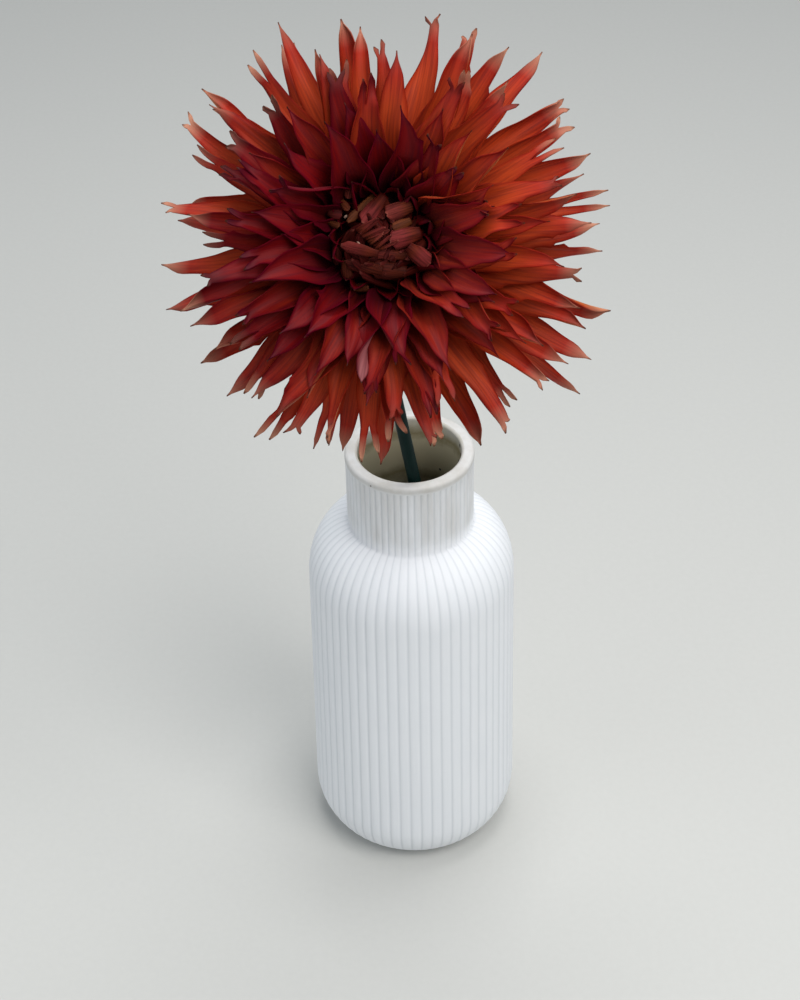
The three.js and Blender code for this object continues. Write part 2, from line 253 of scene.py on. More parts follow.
# the lip stands this much proud of the neck
LIP_STEP = 0.2
# the reeds rise out of the smooth foot between these heights
REED_START, REED_FULL = 3, 12
# below 1, so that a groove's bottom is rounded
GROOVE_SHARPNESS = 0.97


def arc_rows(start_radius, end_radius, start, end, steps):
    """The shoulder: upright where it leaves the body, nearly level where it meets the neck."""
    angle = SHOULDER_SWEEP * np.arange(1, steps + 1) / steps
    inward = (1 - np.cos(angle)) / (1 - math.cos(SHOULDER_SWEEP))
    upward = np.sin(angle) / math.sin(SHOULDER_SWEEP)
    return np.stack([lerp(start_radius, end_radius, inward), lerp(start, end, upward)], 1).tolist()


def foot_rows(flat_radius, wall_radius, bottom, height, steps):
    """The rounded foot, from its flat underside to the wall."""
    angle = np.pi / 2 * np.arange(steps + 1) / steps
    radius = lerp(flat_radius, wall_radius, np.sin(angle))
    return np.stack([radius, bottom + height * (1 - np.cos(angle))], 1).tolist()


def straight_rows(start, end, steps):
    share = np.arange(1, steps + 1)[:, None] / steps
    return (np.array(start) + (np.array(end) - np.array(start)) * share).tolist()


def lip_rows():
    """The lip, rounded outside and in."""
    radius = NECK_RADIUS + LIP_STEP
    rows = [[radius - LIP_STEP / 2, LIP_START], [radius, LIP_START + 0.5], [radius, VASE_HEIGHT - LIP_ROUND]]
    outer_angle = np.pi / 2 * np.arange(1, LIP_ROWS + 1) / LIP_ROWS
    rows += np.stack([
        radius - LIP_ROUND * (1 - np.cos(outer_angle)),
        VASE_HEIGHT - LIP_ROUND * (1 - np.sin(outer_angle)),
    ], 1).tolist()
    inner_angle = np.pi / 2 * np.arange(LIP_ROWS + 1) / LIP_ROWS
    rows += np.stack([
        MOUTH_RADIUS + LIP_ROUND * (1 - np.sin(inner_angle)),
        VASE_HEIGHT - LIP_ROUND * (1 - np.cos(inner_angle)),
    ], 1).tolist()
    return rows


def vase_profile():
    """[radius, height] rows up the outside, over the rounded lip and down the inside."""
    outside = [[0, 0], [FOOT_FLAT_RADIUS - FLAT_INSET, 0]]
    outside += foot_rows(FOOT_FLAT_RADIUS, BASE_RADIUS, 0, FOOT_CURVE_HEIGHT, FOOT_ROWS)
    outside += straight_rows([BASE_RADIUS, FOOT_CURVE_HEIGHT], [SHOULDER_RADIUS, SHOULDER_START], WALL_ROWS)
    outside += arc_rows(SHOULDER_RADIUS, NECK_RADIUS, SHOULDER_START, NECK_START, SHOULDER_ROWS)
    outside += straight_rows([NECK_RADIUS, NECK_START], [NECK_RADIUS, LIP_START - 0.5], NECK_ROWS)
    inside = foot_rows(
        FOOT_FLAT_RADIUS, BASE_RADIUS - WALL, FLOOR, FOOT_CURVE_HEIGHT - FLOOR, CAVITY_FOOT_ROWS)
    inside += [[SHOULDER_RADIUS - WALL, CAVITY_SHOULDER_START]]
    inside += arc_rows(
        SHOULDER_RADIUS - WALL, MOUTH_RADIUS, CAVITY_SHOULDER_START, CAVITY_NECK_START, CAVITY_SHOULDER_ROWS)
    return outside + lip_rows() + inside[::-1] + [[0, FLOOR]]


def carve_reeds(points, reed_count, depth, outside_rows, sides):
    """Convex reeds with a narrow groove between each two, from the foot to just under the lip, and
    how deep in a groove each point lies."""
    shaped = points.copy()
    count = 1 + outside_rows * sides
    x, y, z = points[:count].T
    radius = np.maximum(np.hypot(x, y), 1e-6)
    across = (np.arctan2(y, x) / (2 * np.pi) * reed_count) % 1
    from_crest = np.minimum(across, 1 - across) * 2
    reach = smooth(z, REED_START, REED_FULL) * (1 - smooth(z, LIP_START - 0.6, LIP_START - 0.1))
    groove = (1 - np.sqrt(np.maximum(0, 1 - from_crest ** 2 * GROOVE_SHARPNESS))) * reach
    scale = 1 - depth * groove / radius
    shaped[:count, 0] = x * scale
    shaped[:count, 1] = y * scale
    return shaped, np.concatenate([groove, np.zeros(len(points) - count)])


def neck_runs_and_lip_shade(tree, place, height):
    """How much greyer the clay is drawn: the neck in faint runs down its reeds, 8 mm wide and 45 mm long, and
    the lip in patches of 11 mm, where the grey is painted shade that tones down the lip's lit top."""
    on_neck = add(
        tree, "MapRange", {"From Min": (NECK_START - 2) * MM, "From Max": (NECK_START + 10) * MM},
        {"Value": height}, interpolation_type="SMOOTHSTEP")
    run_place = add(tree, "VectorMath", {1: (130, 130, 22)}, {0: place}, operation="MULTIPLY")
    runs = add(tree, "TexNoise", {"Scale": 1, "Detail": 5, "Roughness": 0.65},
               {"Vector": run_place})
    run_share = add(
        tree, "MapRange", {"From Min": 0.35, "From Max": 0.7, "To Min": 0.15, "To Max": 0.6},
        {"Value": runs})
    neck = add(tree, "Math", links={0: on_neck, 1: run_share},
               operation="MULTIPLY")
    # painted shade: the lip's top, which faces the light, is drawn greyer
    on_lip = add(
        tree, "MapRange", {"From Min": (LIP_START - 1.2) * MM, "From Max": (LIP_START + 1.2) * MM},
        {"Value": height})
    lip_mottle = add(tree, "TexNoise", {"Scale": 90, "Detail": 4, "Roughness": 0.6}, {"Vector": place})
    lip_shade_share = add(
        tree, "MapRange", {"From Min": 0.3, "From Max": 0.7, "To Min": 0.55, "To Max": 1},
        {"Value": lip_mottle})
    lip = add(tree, "Math", links={0: on_lip, 1: lip_shade_share},
              operation="MULTIPLY")
    greying = add(tree, "Math", links={0: neck, 1: lip}, operation="MAXIMUM")
    return greying


def within_cavity(tree, place, height):
    """Whether a point is on the inside of the vase: near the axis, and above the floor."""
    flat = add(tree, "VectorMath", {1: (1, 1, 0)}, {0: place}, operation="MULTIPLY")
    from_axis = add(tree, "VectorMath", links={0: flat}, operation="LENGTH")
    near_axis = add(tree, "Math", {1: (MOUTH_RADIUS + 1.2) * MM}, {0: from_axis.outputs["Value"]},
                    operation="LESS_THAN")
    above_floor = add(tree, "Math", {1: (FLOOR - 1) * MM}, {0: height}, operation="GREATER_THAN")
    within = add(tree, "Math", links={0: near_axis, 1: above_floor},
                 operation="MULTIPLY")
    return within


def sap_stain_and_depth_shade(tree, place, height, props):
    """Stem sap that the clay of the mouth has soaked up: two tide lines, where water has stood, over clay
    drawn ever paler up to the lip. The darker clay deep in the neck is partly painted shade. The lines waver
    by a noise of 13 mm."""
    depth = add(
        tree, "MapRange", {"From Min": (NECK_START - 11) * MM, "From Max": VASE_HEIGHT * MM},
        {"Value": height})
    wavy = add(tree, "TexNoise", {"Scale": 75, "Detail": 5, "Roughness": 0.7}, {"Vector": place})
    waver = add(tree, "Math", {1: 0.22, 2: -0.11}, {0: wavy}, operation="MULTIPLY_ADD")
    wavy_depth = add(tree, "Math", links={0: depth, 1: waver}, operation="ADD")
    # partly painted shade: the ramp runs from a dark colour deep in the neck to pale clay at the lip
    sap = add(tree, "ValToRGB", links={"Fac": wavy_depth}, stops=[
        (0, props.deep_sap_and_shade), (0.28, props.sap_mid), (0.36, props.tide_brown), (0.46, props.sap_mid),
        (0.74, props.sap_mid), (0.83, props.tide_brown), (0.91, props.sap_light), (1, props.neck_grey)])
    return sap.outputs["Color"]


def scattered_bits(tree, place, scale, radius, share):
    """Round bits in so large a share of a pattern's cells. The radius is a share of a cell's size."""
    cells = add(tree, "TexVoronoi", {"Scale": scale, "Randomness": 1}, {"Vector": place})
    is_near = add(tree, "Math", {1: radius}, {0: cells.outputs["Distance"]}, operation="LESS_THAN")
    own = add(tree, "SeparateColor", links={0: cells.outputs["Color"]})
    is_chosen = add(tree, "Math", {1: share}, {0: own}, operation="LESS_THAN")
    bit = add(tree, "Math", links={0: is_near, 1: is_chosen},
              operation="MULTIPLY")
    return bit


def bisque_porcelain(props):
    """Unglazed white porcelain, slip cast: matt, faintly sandy, with tide stains where water dried
    in and round the mouth, and a few iron specks. It gives the eye a chalky, cool white."""
    material, tree, shader = new_material("bisque_porcelain")
    place = add(tree, "NewGeometry").outputs["Position"]
    height = add(tree, "SeparateXYZ", links={0: place}).outputs["Z"]
    # a cloudy wash of 30 mm patches
    cloud = add(tree, "TexNoise", {"Scale": 33, "Detail": 4, "Roughness": 0.6}, {"Vector": place})
    body = add(tree, "Mix", {MIX_A: props.glaze_free_white, MIX_B: props.cloud_grey},
               {MIX_FACTOR: cloud}, data_type="RGBA")
    greying = neck_runs_and_lip_shade(tree, place, height)
    greyed = add(tree, "Mix", {MIX_B: props.neck_grey},
                  {MIX_FACTOR: greying, MIX_A: body}, data_type="RGBA")
    # painted shade: the grooves between the reeds are drawn darker, where shade falls in them
    groove = add(tree, "Attribute", attribute_name="groove").outputs["Fac"]
    groove_shade_share = add(tree, "MapRange", {"From Min": 0.2, "From Max": 0.85, "To Max": 0.28},
               {"Value": groove})
    groove_shaded = add(tree, "Mix", {MIX_B: props.groove_shade},
                {MIX_FACTOR: groove_shade_share, MIX_A: greyed}, data_type="RGBA")
    within = within_cavity(tree, place, height)
    sap = sap_stain_and_depth_shade(tree, place, height, props)
    stained = add(tree, "Mix", links={
        MIX_FACTOR: within, MIX_A: groove_shaded, MIX_B: sap}, data_type="RGBA")
    # iron specks 1 mm across, one to an 18 mm cell at most
    specks = scattered_bits(tree, place, 55, 0.028, 0.06)
    # flecks of dried leaf nearly 2 mm across, in 4.5 mm cells, cling inside the neck
    flecks = scattered_bits(tree, place, 220, 0.2, 0.12)
    clinging = add(tree, "Math", links={0: flecks, 1: within}, operation="MULTIPLY")
    dark_bit = add(tree, "Math", links={0: specks, 1: clinging}, operation="MAXIMUM")
    final = add(tree, "Mix", {MIX_B: props.speck_colour},
                {MIX_FACTOR: dark_bit, MIX_A: stained}, data_type="RGBA")
    link(tree, final, shader.inputs["Base Color"])
    # a sandy tooth of about half a millimetre, drawn coarser than the real grain so that it shows
    tooth = add(tree, "TexNoise", {"Scale": 2200, "Detail": 3}, {"Vector": place})
    bump = add(tree, "Bump", {"Strength": 0.12, "Distance": 0.0002}, {"Height": tooth})
    link(tree, bump, shader.inputs["Normal"])
    shader.inputs["Roughness"].default_value = 0.62
    shader.inputs["IOR"].default_value = 1.5
    shader.inputs["Specular IOR Level"].default_value = 0.35
    return material


class VaseProps(bpy.types.PropertyGroup):
    """Sizes and colours of the ribbed bottle vase"""
    reed_count: IntProperty(name="Reeds", description="Number of reeds round the vase", default=60, min=12)
    reed_depth: length_prop("Groove depth", "Depth of the groove between two reeds", 0.7)
    glaze_free_white: colour_prop("Bisque white", "The clean fired clay", "#F4F6F9")
    cloud_grey: colour_prop("Cloud grey", "The faint wash over the clay", "#ECEFF3")
    neck_grey: colour_prop("Neck grey", "The greyer clay of the neck, and painted shade on the lip", "#C9C6C0")
    groove_shade: colour_prop("Groove shade", "Painted shade in the grooves between the reeds", "#A9B0B8")
    deep_sap_and_shade: colour_prop("Dark sap and shade", "Sap stain and painted shade deep in the neck", "#857B56")
    sap_mid: colour_prop("Sap", "Sap stain in the neck", "#C6BEA2")
    sap_light: colour_prop("Pale sap", "Sap stain near the lip", "#BDB8A6")
    tide_brown: colour_prop("Tide line", "The lines that standing water left", "#948A6A")
    speck_colour: colour_prop("Iron speck", "Iron specks in the clay", "#3A352C")


class DAHLIA_OT_vase(bpy.types.Operator):
    """Build the ribbed bottle vase"""
    bl_idname = "dahlia.vase"
    bl_label = "Vase"

    def execute(self, context):
        props = context.scene.dahlia_vase
        sides = SIDES_PER_REED * props.reed_count
        profile = vase_profile()
        outside_rows = next(i for i, (_, z) in enumerate(profile) if z >= VASE_HEIGHT) - 1
        points, faces = turned(profile, sides)
        points, groove = carve_reeds(points, props.reed_count, props.reed_depth / MM, outside_rows, sides)
        piece = new_piece("vase_body", points, faces, bisque_porcelain(props), {"groove": groove})
        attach(piece, "root")
        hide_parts("vase")
        return {"FINISHED"}


# ---------- water ----------

# the water stands this far off the clay
WATER_GAP = 0.3
# its skin has a ring of points this far out, near the stem
STEM_HOLE = 4
WATER_WALL_ROWS = 6
WATER_SIDES = 96
# where the water wets the wall its edge curls up: how far in from the wall, and how far down
WATER_EDGE = ((0.7, 0.5), (1.6, 0.85), (3, 1))


def still_water(props):
    """Clean tap water a day old: clear, with a faint yellow-green from the stem, smooth as glass."""
    material, tree, shader = new_material("still_water")
    place = add(tree, "NewGeometry").outputs["Position"]
    # sap hangs in it in clouds of 25 mm
    cloud = add(tree, "TexNoise", {"Scale": 40, "Detail": 2}, {"Vector": place})
    tint = add(tree, "Mix", {MIX_A: props.tint, MIX_B: props.haze}, {MIX_FACTOR: cloud},
               data_type="RGBA")
    link(tree, tint, shader.inputs["Base Color"])
    shader.inputs["Roughness"].default_value = 0.02
    shader.inputs["IOR"].default_value = 1.333
    shader.inputs["Transmission Weight"].default_value = 0.9
    return material


class WaterProps(bpy.types.PropertyGroup):
    """Colours of the water in the vase"""
    tint: colour_prop("Tint", "The water's own faint tint", "#DDE6DA")
    haze: colour_prop("Haze", "Where a little sap has clouded it", "#C6CFB4")


def water_profile():
    """The cavity's shape, a gap smaller all round, with a curled edge where the water wets the wall."""
    wall_radius = lerp(BASE_RADIUS, SHOULDER_RADIUS, WATER_LEVEL / SHOULDER_START) - WALL - WATER_GAP
    bottom = FLOOR + WATER_GAP
    rows = [[0, bottom], [FOOT_FLAT_RADIUS - FLAT_INSET, bottom]]
    rows += foot_rows(
        FOOT_FLAT_RADIUS - WATER_GAP, BASE_RADIUS - WALL - WATER_GAP, bottom, FOOT_CURVE_HEIGHT - FLOOR,
        CAVITY_FOOT_ROWS)
    rows += straight_rows(rows[-1], [wall_radius, WATER_LEVEL], WATER_WALL_ROWS)
    for inset, drop in WATER_EDGE:
        rows.append([wall_radius - inset, WATER_LEVEL - drop])
    surface = WATER_LEVEL - WATER_EDGE[-1][1]
    return rows + [[STEM_HOLE, surface], [0, surface]]


class DAHLIA_OT_water(bpy.types.Operator):
    """Fill the vase with water"""
    bl_idname = "dahlia.water"
    bl_label = "Water"

    def execute(self, context):
        points, faces = turned(water_profile(), WATER_SIDES)
        piece = new_piece("vase_water", points, faces, still_water(context.scene.dahlia_water))
        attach(piece, "root")
        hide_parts("water")
        return {"FINISHED"}


# ---------- thin blades: ray florets, bracts and unopened florets ----------

# in a blade's cell of the flat layout: its front's corner and size, how far beside it the back lies,
# and the width of the rim
CELL_LEFT, CELL_FOOT, SIDE_WIDTH, SIDE_LENGTH, BACK_SHIFT, RIM_WIDTH = 0.04, 0.03, 0.42, 0.94, 0.49, 0.02


def quads_of(index):
    """The quads of a grid of point numbers, row after row."""
    return np.stack([index[:-1, :-1], index[1:, :-1], index[1:, 1:], index[:-1, 1:]], -1).reshape(-1, 4)


def rotated(x, y, angle):
    return x * np.cos(angle) - y * np.sin(angle), x * np.sin(angle) + y * np.cos(angle)


class Leaves:
    """Thin blades gathered into one mesh, each closed round its margin and laid out flat for baking."""

    def __init__(self, count, shape_of_cell=3.5):
        self.columns = math.ceil(math.sqrt(count * shape_of_cell))
        self.rows = math.ceil(count / self.columns)
        self.done = 0
        self.total = 0
        self.points = []
        self.faces = []
        self.uvs = []
        self.values = {}

    def add_sheet(self, points, faces, thickness, across, reach, values):
        """A sheet's points, its quads seen from the front, and each point's place on the blade."""
        corner = points[faces]
        flat = np.cross(corner[:, 2] - corner[:, 0], corner[:, 3] - corner[:, 1])
        normal = np.zeros_like(points)
        for k in range(4):
            np.add.at(normal, faces[:, k], flat)
        offset = unit(normal) * thickness[:, None] / 2
        count = len(points)
        edges = {(int(a), int(b)) for quad in faces for a, b in zip(quad, np.roll(quad, -1))}
        rim = np.array(sorted((a, b) for a, b in edges if (b, a) not in edges))
        sides = np.stack([rim[:, 1], rim[:, 0], rim[:, 0] + count, rim[:, 1] + count], 1)
        self.points.append(np.concatenate([points + offset, points - offset]))
        self.faces.append(np.concatenate([faces, faces[:, ::-1] + count, sides]) + self.total)
        self.add_layout(faces, rim, across, reach)
        values = {**values, "across": across, "reach": reach}
        for name, numbers in values.items():
            numbers = np.asarray(numbers, float)
            if numbers.ndim == 0:
                numbers = np.full(count, float(numbers))
            self.values.setdefault(name, []).append(np.concatenate([numbers, numbers]))
        front = np.repeat([1.0, 0.0], count)
        front[count + np.unique(rim)] = 1
        self.values.setdefault("front", []).append(front)
        self.total += 2 * count
        self.done += 1

    def add_layout(self, faces, rim, across, reach):
        """Front and back lie side by side in the blade's own cell, and the rim beside the front."""
        cell = np.array([self.done % self.columns, self.done // self.columns], float)
        size = np.array([1 / self.columns, 1 / self.rows])
        place = np.stack([CELL_LEFT + SIDE_WIDTH * (across + 1) / 2, CELL_FOOT + SIDE_LENGTH * reach], 1)
        front = (cell + place) * size
        back = (cell + place + [BACK_SHIFT, 0]) * size
        is_side = np.abs(across) > 0.5
        outward = RIM_WIDTH * size * np.stack([
            np.where(across < 0, -1, 1) * is_side, np.where(reach > 0.5, 1, -1) * ~is_side], 1)
        rims = np.stack([
            front[rim[:, 1]], front[rim[:, 0]],
            (front + outward)[rim[:, 0]], (front + outward)[rim[:, 1]]], 1)
        self.uvs.append(np.concatenate([front[faces], back[faces[:, ::-1]], rims]).reshape(-1, 2))

    def piece(self, name, material, place=None):
        points = np.concatenate(self.points)
        values = {key: np.concatenate(numbers) for key, numbers in self.values.items()}
        return new_piece(name, points if place is None else place(points),
                         np.concatenate(self.faces).tolist(), material, values, np.concatenate(self.uvs))


def midline(rule, steps):
    """Where the blade's midline runs, and its along, side and up directions, for each of its rows."""
    outward = np.array([math.cos(rule["azimuth"]), math.sin(rule["azimuth"]), 0])
    across = np.array([-math.sin(rule["azimuth"]), math.cos(rule["azimuth"]), 0])
    axis = np.array([0, 0, 1.0])
    s = np.linspace(0, 1, steps + 1)[:, None]
    polar = lerp(rule["start_polar"], rule["end_polar"], s)
    swing = rule["side_bend"] * s
    along = (outward * np.sin(polar) * np.cos(swing) + axis * np.cos(polar)
             + across * np.sin(polar) * np.sin(swing))
    stride = (along[1:] + along[:-1]) / 2 * rule["length"] / steps
    start = outward * rule["root_radius"] + axis * rule["root_height"]
    centre = start + np.concatenate([np.zeros((1, 3)), np.cumsum(stride, 0)])
    edge = unit(across - (along @ across)[:, None] * along)
    face = np.cross(along, edge)
    roll = rule["roll"] * s
    side = edge * np.cos(roll) + face * np.sin(roll)
    up = face * np.cos(roll) - edge * np.sin(roll)
    return centre, along, side, up


def section(u, half, curl):
    """A blade's cut across, as an arc: its margins turn up to the front by curl, or back if negative."""
    angle = np.where(np.abs(curl) < 0.02, 0.02, curl)
    widest = np.sin(np.minimum(np.abs(angle), np.pi / 2))
    x = half * np.sin(angle * u) / (widest * np.sign(angle))
    y = half * (1 - np.cos(angle * u)) / (widest * np.sign(angle))
    return x, y


def blade_width(s, claw, blunt):
    """Share of the full width: a narrow claw, widest before the middle, then a taper to a point."""
    widest = 0.42
    rise = lerp(claw, 1, smooth(s, 0, widest))
    fall = 1 - lerp(0.9, 0.72, blunt) * np.maximum(0, (s - widest) / (1 - widest)) ** lerp(1.1, 0.95, blunt)
    return rise * fall


def wandering_half(width, u, s, hand, phase):
    """Half the width over a half's grid. No margin is a fair curve: each runs in and out a little."""
    wander = np.sin(19 * s + 40 * phase + 2 * hand) * np.sin(7 * s + 13 * phase)
    return width[:, None] * (1 + 0.11 * wander * smooth(s, 0.1, 0.4) * np.abs(u))


def part_prong(x, y, v, split, hand, fork_half, finish):
    """Past the fork, a half gathers into a prong that narrows, spreads and curls by itself."""
    prong_half = lerp(fork_half, 0.9, split) * (1 - 0.85 * smooth(split, 0.75, 1))
    prong_x = hand * lerp(fork_half, finish["spread"] + 1, split ** 1.1)
    own_x, own_y = section(np.broadcast_to(v, split.shape), prong_half, finish["prong_curl"] * split)
    meet = smooth(split, 0, 0.4)
    return lerp(x, prong_x + own_x, meet), lerp(y, own_y + finish["prong_lift"] * hand * split, meet)


def run_out_barbs(x, u, s, hand, barbs):
    """Side barbs: the margin runs out to a small free tooth and steps back in."""
    for barb_s, barb_hand, barb_size in barbs:
        if barb_hand == hand:
            tooth = np.clip(1 - (barb_s - s) / 0.1, 0, 1) * (s <= barb_s)
            x = x + hand * barb_size * tooth ** 2 * np.abs(u) ** 6
    return x


def ruffle_and_twist(x, y, u, s, half, widest, hand, finish):
    """The folds, ruffle and crease of a half, then the twist, sway, bow and hooked tip of the blade."""
    in_use = smooth(s, 0.02, 0.25)
    y = y + 0.15 * np.cos(3 * np.pi * u) * in_use * (1 - smooth(s, 0.7, 0.95))
    ruffle = np.sin(finish["waves"] * s * 2 * np.pi + 1.7 * hand + finish["phase"])
    y = y + finish["ruffle"] * ruffle * np.abs(u) ** 2 * in_use * half / widest
    y = y + finish["crease"] * half * (np.abs(u) - 0.5) * (1 - smooth(s, 0.75, 1))
    x, y = rotated(x, y, finish["twist"] * smooth(s, finish["twist_start"], 1.0))
    swing = 2 * np.pi * (s * 0.8 + finish["phase"])
    x = x + finish["sway"] * (np.sin(swing) - math.sin(2 * np.pi * finish["phase"])) * s
    y = y + finish["bow"] * np.sin(np.pi * s) + finish["hook"] * smooth(s, 0.86, 1.0) ** 2
    return x, y


def add_blade(leaves, rule, finish, half_columns=7, steps=36):
    """One blade, in two halves that part at the fork, if it has one."""
    centre, along, side, up = midline(rule, steps)
    s = np.linspace(0, 1, steps + 1)
    is_forked = finish["fork"] > 0
    fork_row = round(steps * (1 - finish["fork"] / rule["length"]))
    fork_s = fork_row / steps
    width = rule["width"] / 2 * blade_width(s, rule["claw"], finish["blunt"])
    if not is_forked:
        width *= 1 - 0.96 * smooth(s, finish["point"], 1.0) ** 1.6
    curl = lerp(finish["cup"], finish["tip_curl"], smooth(s, finish["curl_start"], 1.0))
    v = np.linspace(-1, 1, half_columns + 1)
    blocks = []
    for hand in (-1, 1):
        grid_u, grid_s = np.meshgrid((hand + v) / 2, s)
        half = wandering_half(width, grid_u, grid_s, hand, finish["phase"])
        x, y = section(grid_u, half, curl[:, None])
        edge = np.abs(grid_u)
        split = np.clip((grid_s - fork_s) / max(1 - fork_s, 1e-6), 0, 1)
        if is_forked:
            x, y = part_prong(x, y, v, split, hand, width[fork_row] / 2, finish)
            edge = lerp(edge, np.abs(v)[None, :], smooth(split, 0, 0.15))
        x = run_out_barbs(x, grid_u, grid_s, hand, finish["barbs"])
        x, y = ruffle_and_twist(x, y, grid_u, grid_s, half, width.max(), hand, finish)
        short = finish["short"] * (hand > 0) * split
        points = (centre[:, None] + side[:, None] * x[..., None] + up[:, None] * y[..., None]
                  - along[:, None] * short[..., None])
        blocks.append((points, grid_u, grid_s, edge, grid_u * half))
    row_size = half_columns + 1
    index = np.arange(2 * (steps + 1) * row_size).reshape(2, steps + 1, row_size)
    # the halves share their inner column up to the fork
    shared_rows = fork_row + 1 if is_forked else steps + 1
    index[1, :shared_rows, 0] = index[0, :shared_rows, -1]
    faces = np.concatenate([quads_of(part) for part in index])
    used, faces = np.unique(faces, return_inverse=True)
    points = np.concatenate([block[0].reshape(-1, 3) for block in blocks])[used]
    across, reach, edge, x = (
        np.concatenate([block[k].ravel() for block in blocks])[used] for k in range(1, 5))
    grain = np.stack([x, reach * rule["length"], np.full_like(x, finish["own"] * 97)], 1)
    values = {"edge": edge, "grain": grain, **{name: finish[name] for name in ("ring", "tone", "dry")}}
    thickness = lerp(finish["thick"], finish["thin"], edge ** 2)
    leaves.add_sheet(points, faces.reshape(-1, 4), thickness, across, reach, values)


# ---------- stem, calyx and bracts ----------

STALK_ROWS, STALK_SIDES, STALK_RIBS = 48, 36, 9
CALYX_TOP = RECEPTACLE_BOTTOM - 0.3
CALYX_SIDES, CALYX_RIBS = 72, 8
BRACT_SEED = 77
SCALE_SEED = 401


def on_lean(z):
    return RIM_CONTACT + STEM_LEAN * (z - RIM_CONTACT[2])


def stem_rows(steps):
    """Points up the stem: straight to where it starts to nod, then one curve into the head."""
    matrix = head_matrix()
    axis = matrix[:3, 2]
    end = in_head(np.array([[0, 0, RECEPTACLE_BOTTOM - CALYX_DEPTH + 2]]))[0]
    start = on_lean(STRAIGHT_END_Z)
    straight = on_lean(STEM_FOOT_Z) + (start - on_lean(STEM_FOOT_Z)) * np.linspace(0, 1, steps)[:, None]
    t = np.linspace(0, 1, steps)[1:, None]
    pull_in = start + STEM_LEAN * STEM_BEND_PULL
    pull_out = end - axis * HEAD_BEND_PULL
    bend = ((1 - t) ** 3 * start + 3 * (1 - t) ** 2 * t * pull_in
            + 3 * (1 - t) * t ** 2 * pull_out + t ** 3 * end)
    return np.concatenate([straight, bend])


def stalk_skin(foot_radius, top_radius):
    """A tube with shallow ribs along it, a cut foot, and its rows' reach up the stem."""
    sides = STALK_SIDES
    path = stem_rows(STALK_ROWS)
    along = unit(np.gradient(path, axis=0))
    side = unit(np.array([1.0, 0, 0]) - along * along[:, :1])
    front = np.cross(along, side)
    reach = np.linspace(0, 1, len(path))
    angle = 2 * np.pi * np.arange(sides) / sides
    rib = 1 - 0.03 * (1 + np.cos(STALK_RIBS * angle)) / 2
    radius = lerp(foot_radius, top_radius, reach)
    # the stalk swells and thins a little on its way
    radius = radius * (1 + 0.03 * np.sin(reach * 23) * np.sin(reach * 7))
    ring = (side[:, None] * np.cos(angle)[:, None] + front[:, None] * np.sin(angle)[:, None]) * rib[:, None]
    points = (path[:, None] + ring * radius[:, None, None]).reshape(-1, 3)
    points = np.concatenate([points, path[:1], path[-1:]])
    index = np.arange(len(path) * sides).reshape(len(path), sides)
    after = np.roll(index, -1, 1)
    quads = np.stack([index[:-1], after[:-1], after[1:], index[1:]], -1).reshape(-1, 4).tolist()
    foot = [[len(points) - 2, int(after[0, j]), int(index[0, j])] for j in range(sides)]
    top = [[len(points) - 1, int(index[-1, j]), int(after[-1, j])] for j in range(sides)]
    values = np.concatenate([np.repeat(reach, sides), [0, 1]])
    return points, quads + foot + top, values


def stem_tissue(props, name, top_colour):
    """A dahlia's soft green stalk: waxy skin over wet flesh, so it has a low sheen, with fine
    ribs along it and a reddish flush towards the flower."""
    material, tree, shader = new_material(name)
    place = add(tree, "NewGeometry").outputs["Position"]
    reach = add(tree, "Attribute", attribute_name="reach").outputs["Fac"]
    # streaks about 0.4 mm wide and 14 mm long
    stretched = add(tree, "VectorMath", {1: (2400, 2400, 70)}, {0: place}, operation="MULTIPLY")
    streak = add(tree, "TexNoise", {"Scale": 1, "Detail": 3}, {"Vector": stretched})
    # darker blotches of 6 mm
    mottle = add(tree, "TexNoise", {"Scale": 160, "Detail": 3}, {"Vector": place})
    green = add(tree, "Mix", {MIX_A: props.stem_green, MIX_B: props.stem_dark},
                {MIX_FACTOR: streak}, data_type="RGBA")
    flush = add(tree, "MapRange", {"From Min": 0.8, "From Max": 1.05, "To Max": 0.8},
                {"Value": reach})
    flushed = add(tree, "Mix", {MIX_B: top_colour},
                  {MIX_FACTOR: flush, MIX_A: green}, data_type="RGBA")
    shade = add(tree, "MapRange", {"From Min": 0.35, "From Max": 0.75, "To Max": 0.5},
                {"Value": mottle})
    final = add(tree, "Mix", {MIX_B: props.stem_dark},
                {MIX_FACTOR: shade, MIX_A: flushed}, data_type="RGBA")
    link(tree, final, shader.inputs["Base Color"])
    bump = add(tree, "Bump", {"Strength": 0.3, "Distance": 0.0002}, {"Height": streak})
    link(tree, bump, shader.inputs["Normal"])
    shader.inputs["Roughness"].default_value = 0.46
    shader.inputs["IOR"].default_value = 1.42
    shader.inputs["Specular IOR Level"].default_value = 0.09
    return material


class StemProps(bpy.types.PropertyGroup):
    """Sizes and colours of the stem, the calyx and its bracts"""
    foot_radius: length_prop("Foot radius", "Radius of the cut foot", 3.1)
    top_radius: length_prop("Top radius", "Radius under the flower", 2.5)
    bract_count: IntProperty(name="Bracts", description="Green bracts under the flower", default=8, min=3)
    scale_count: IntProperty(name="Scales", description="Papery scales over the bracts", default=13, min=3)
    stem_green: colour_prop("Stem green", "The stalk's skin", "#0D2A26")
    stem_dark: colour_prop("Stem dark", "Darker streaks on the stalk", "#041312")
    flush_red: colour_prop("Flush", "Reddish flush near the flower", "#3A2A1E")
    bract_green: colour_prop("Bract green", "The reflexed bracts", "#5C7A34")
    scale_tan: colour_prop("Scale tan", "The papery scales that clasp the head", "#8A7A48")


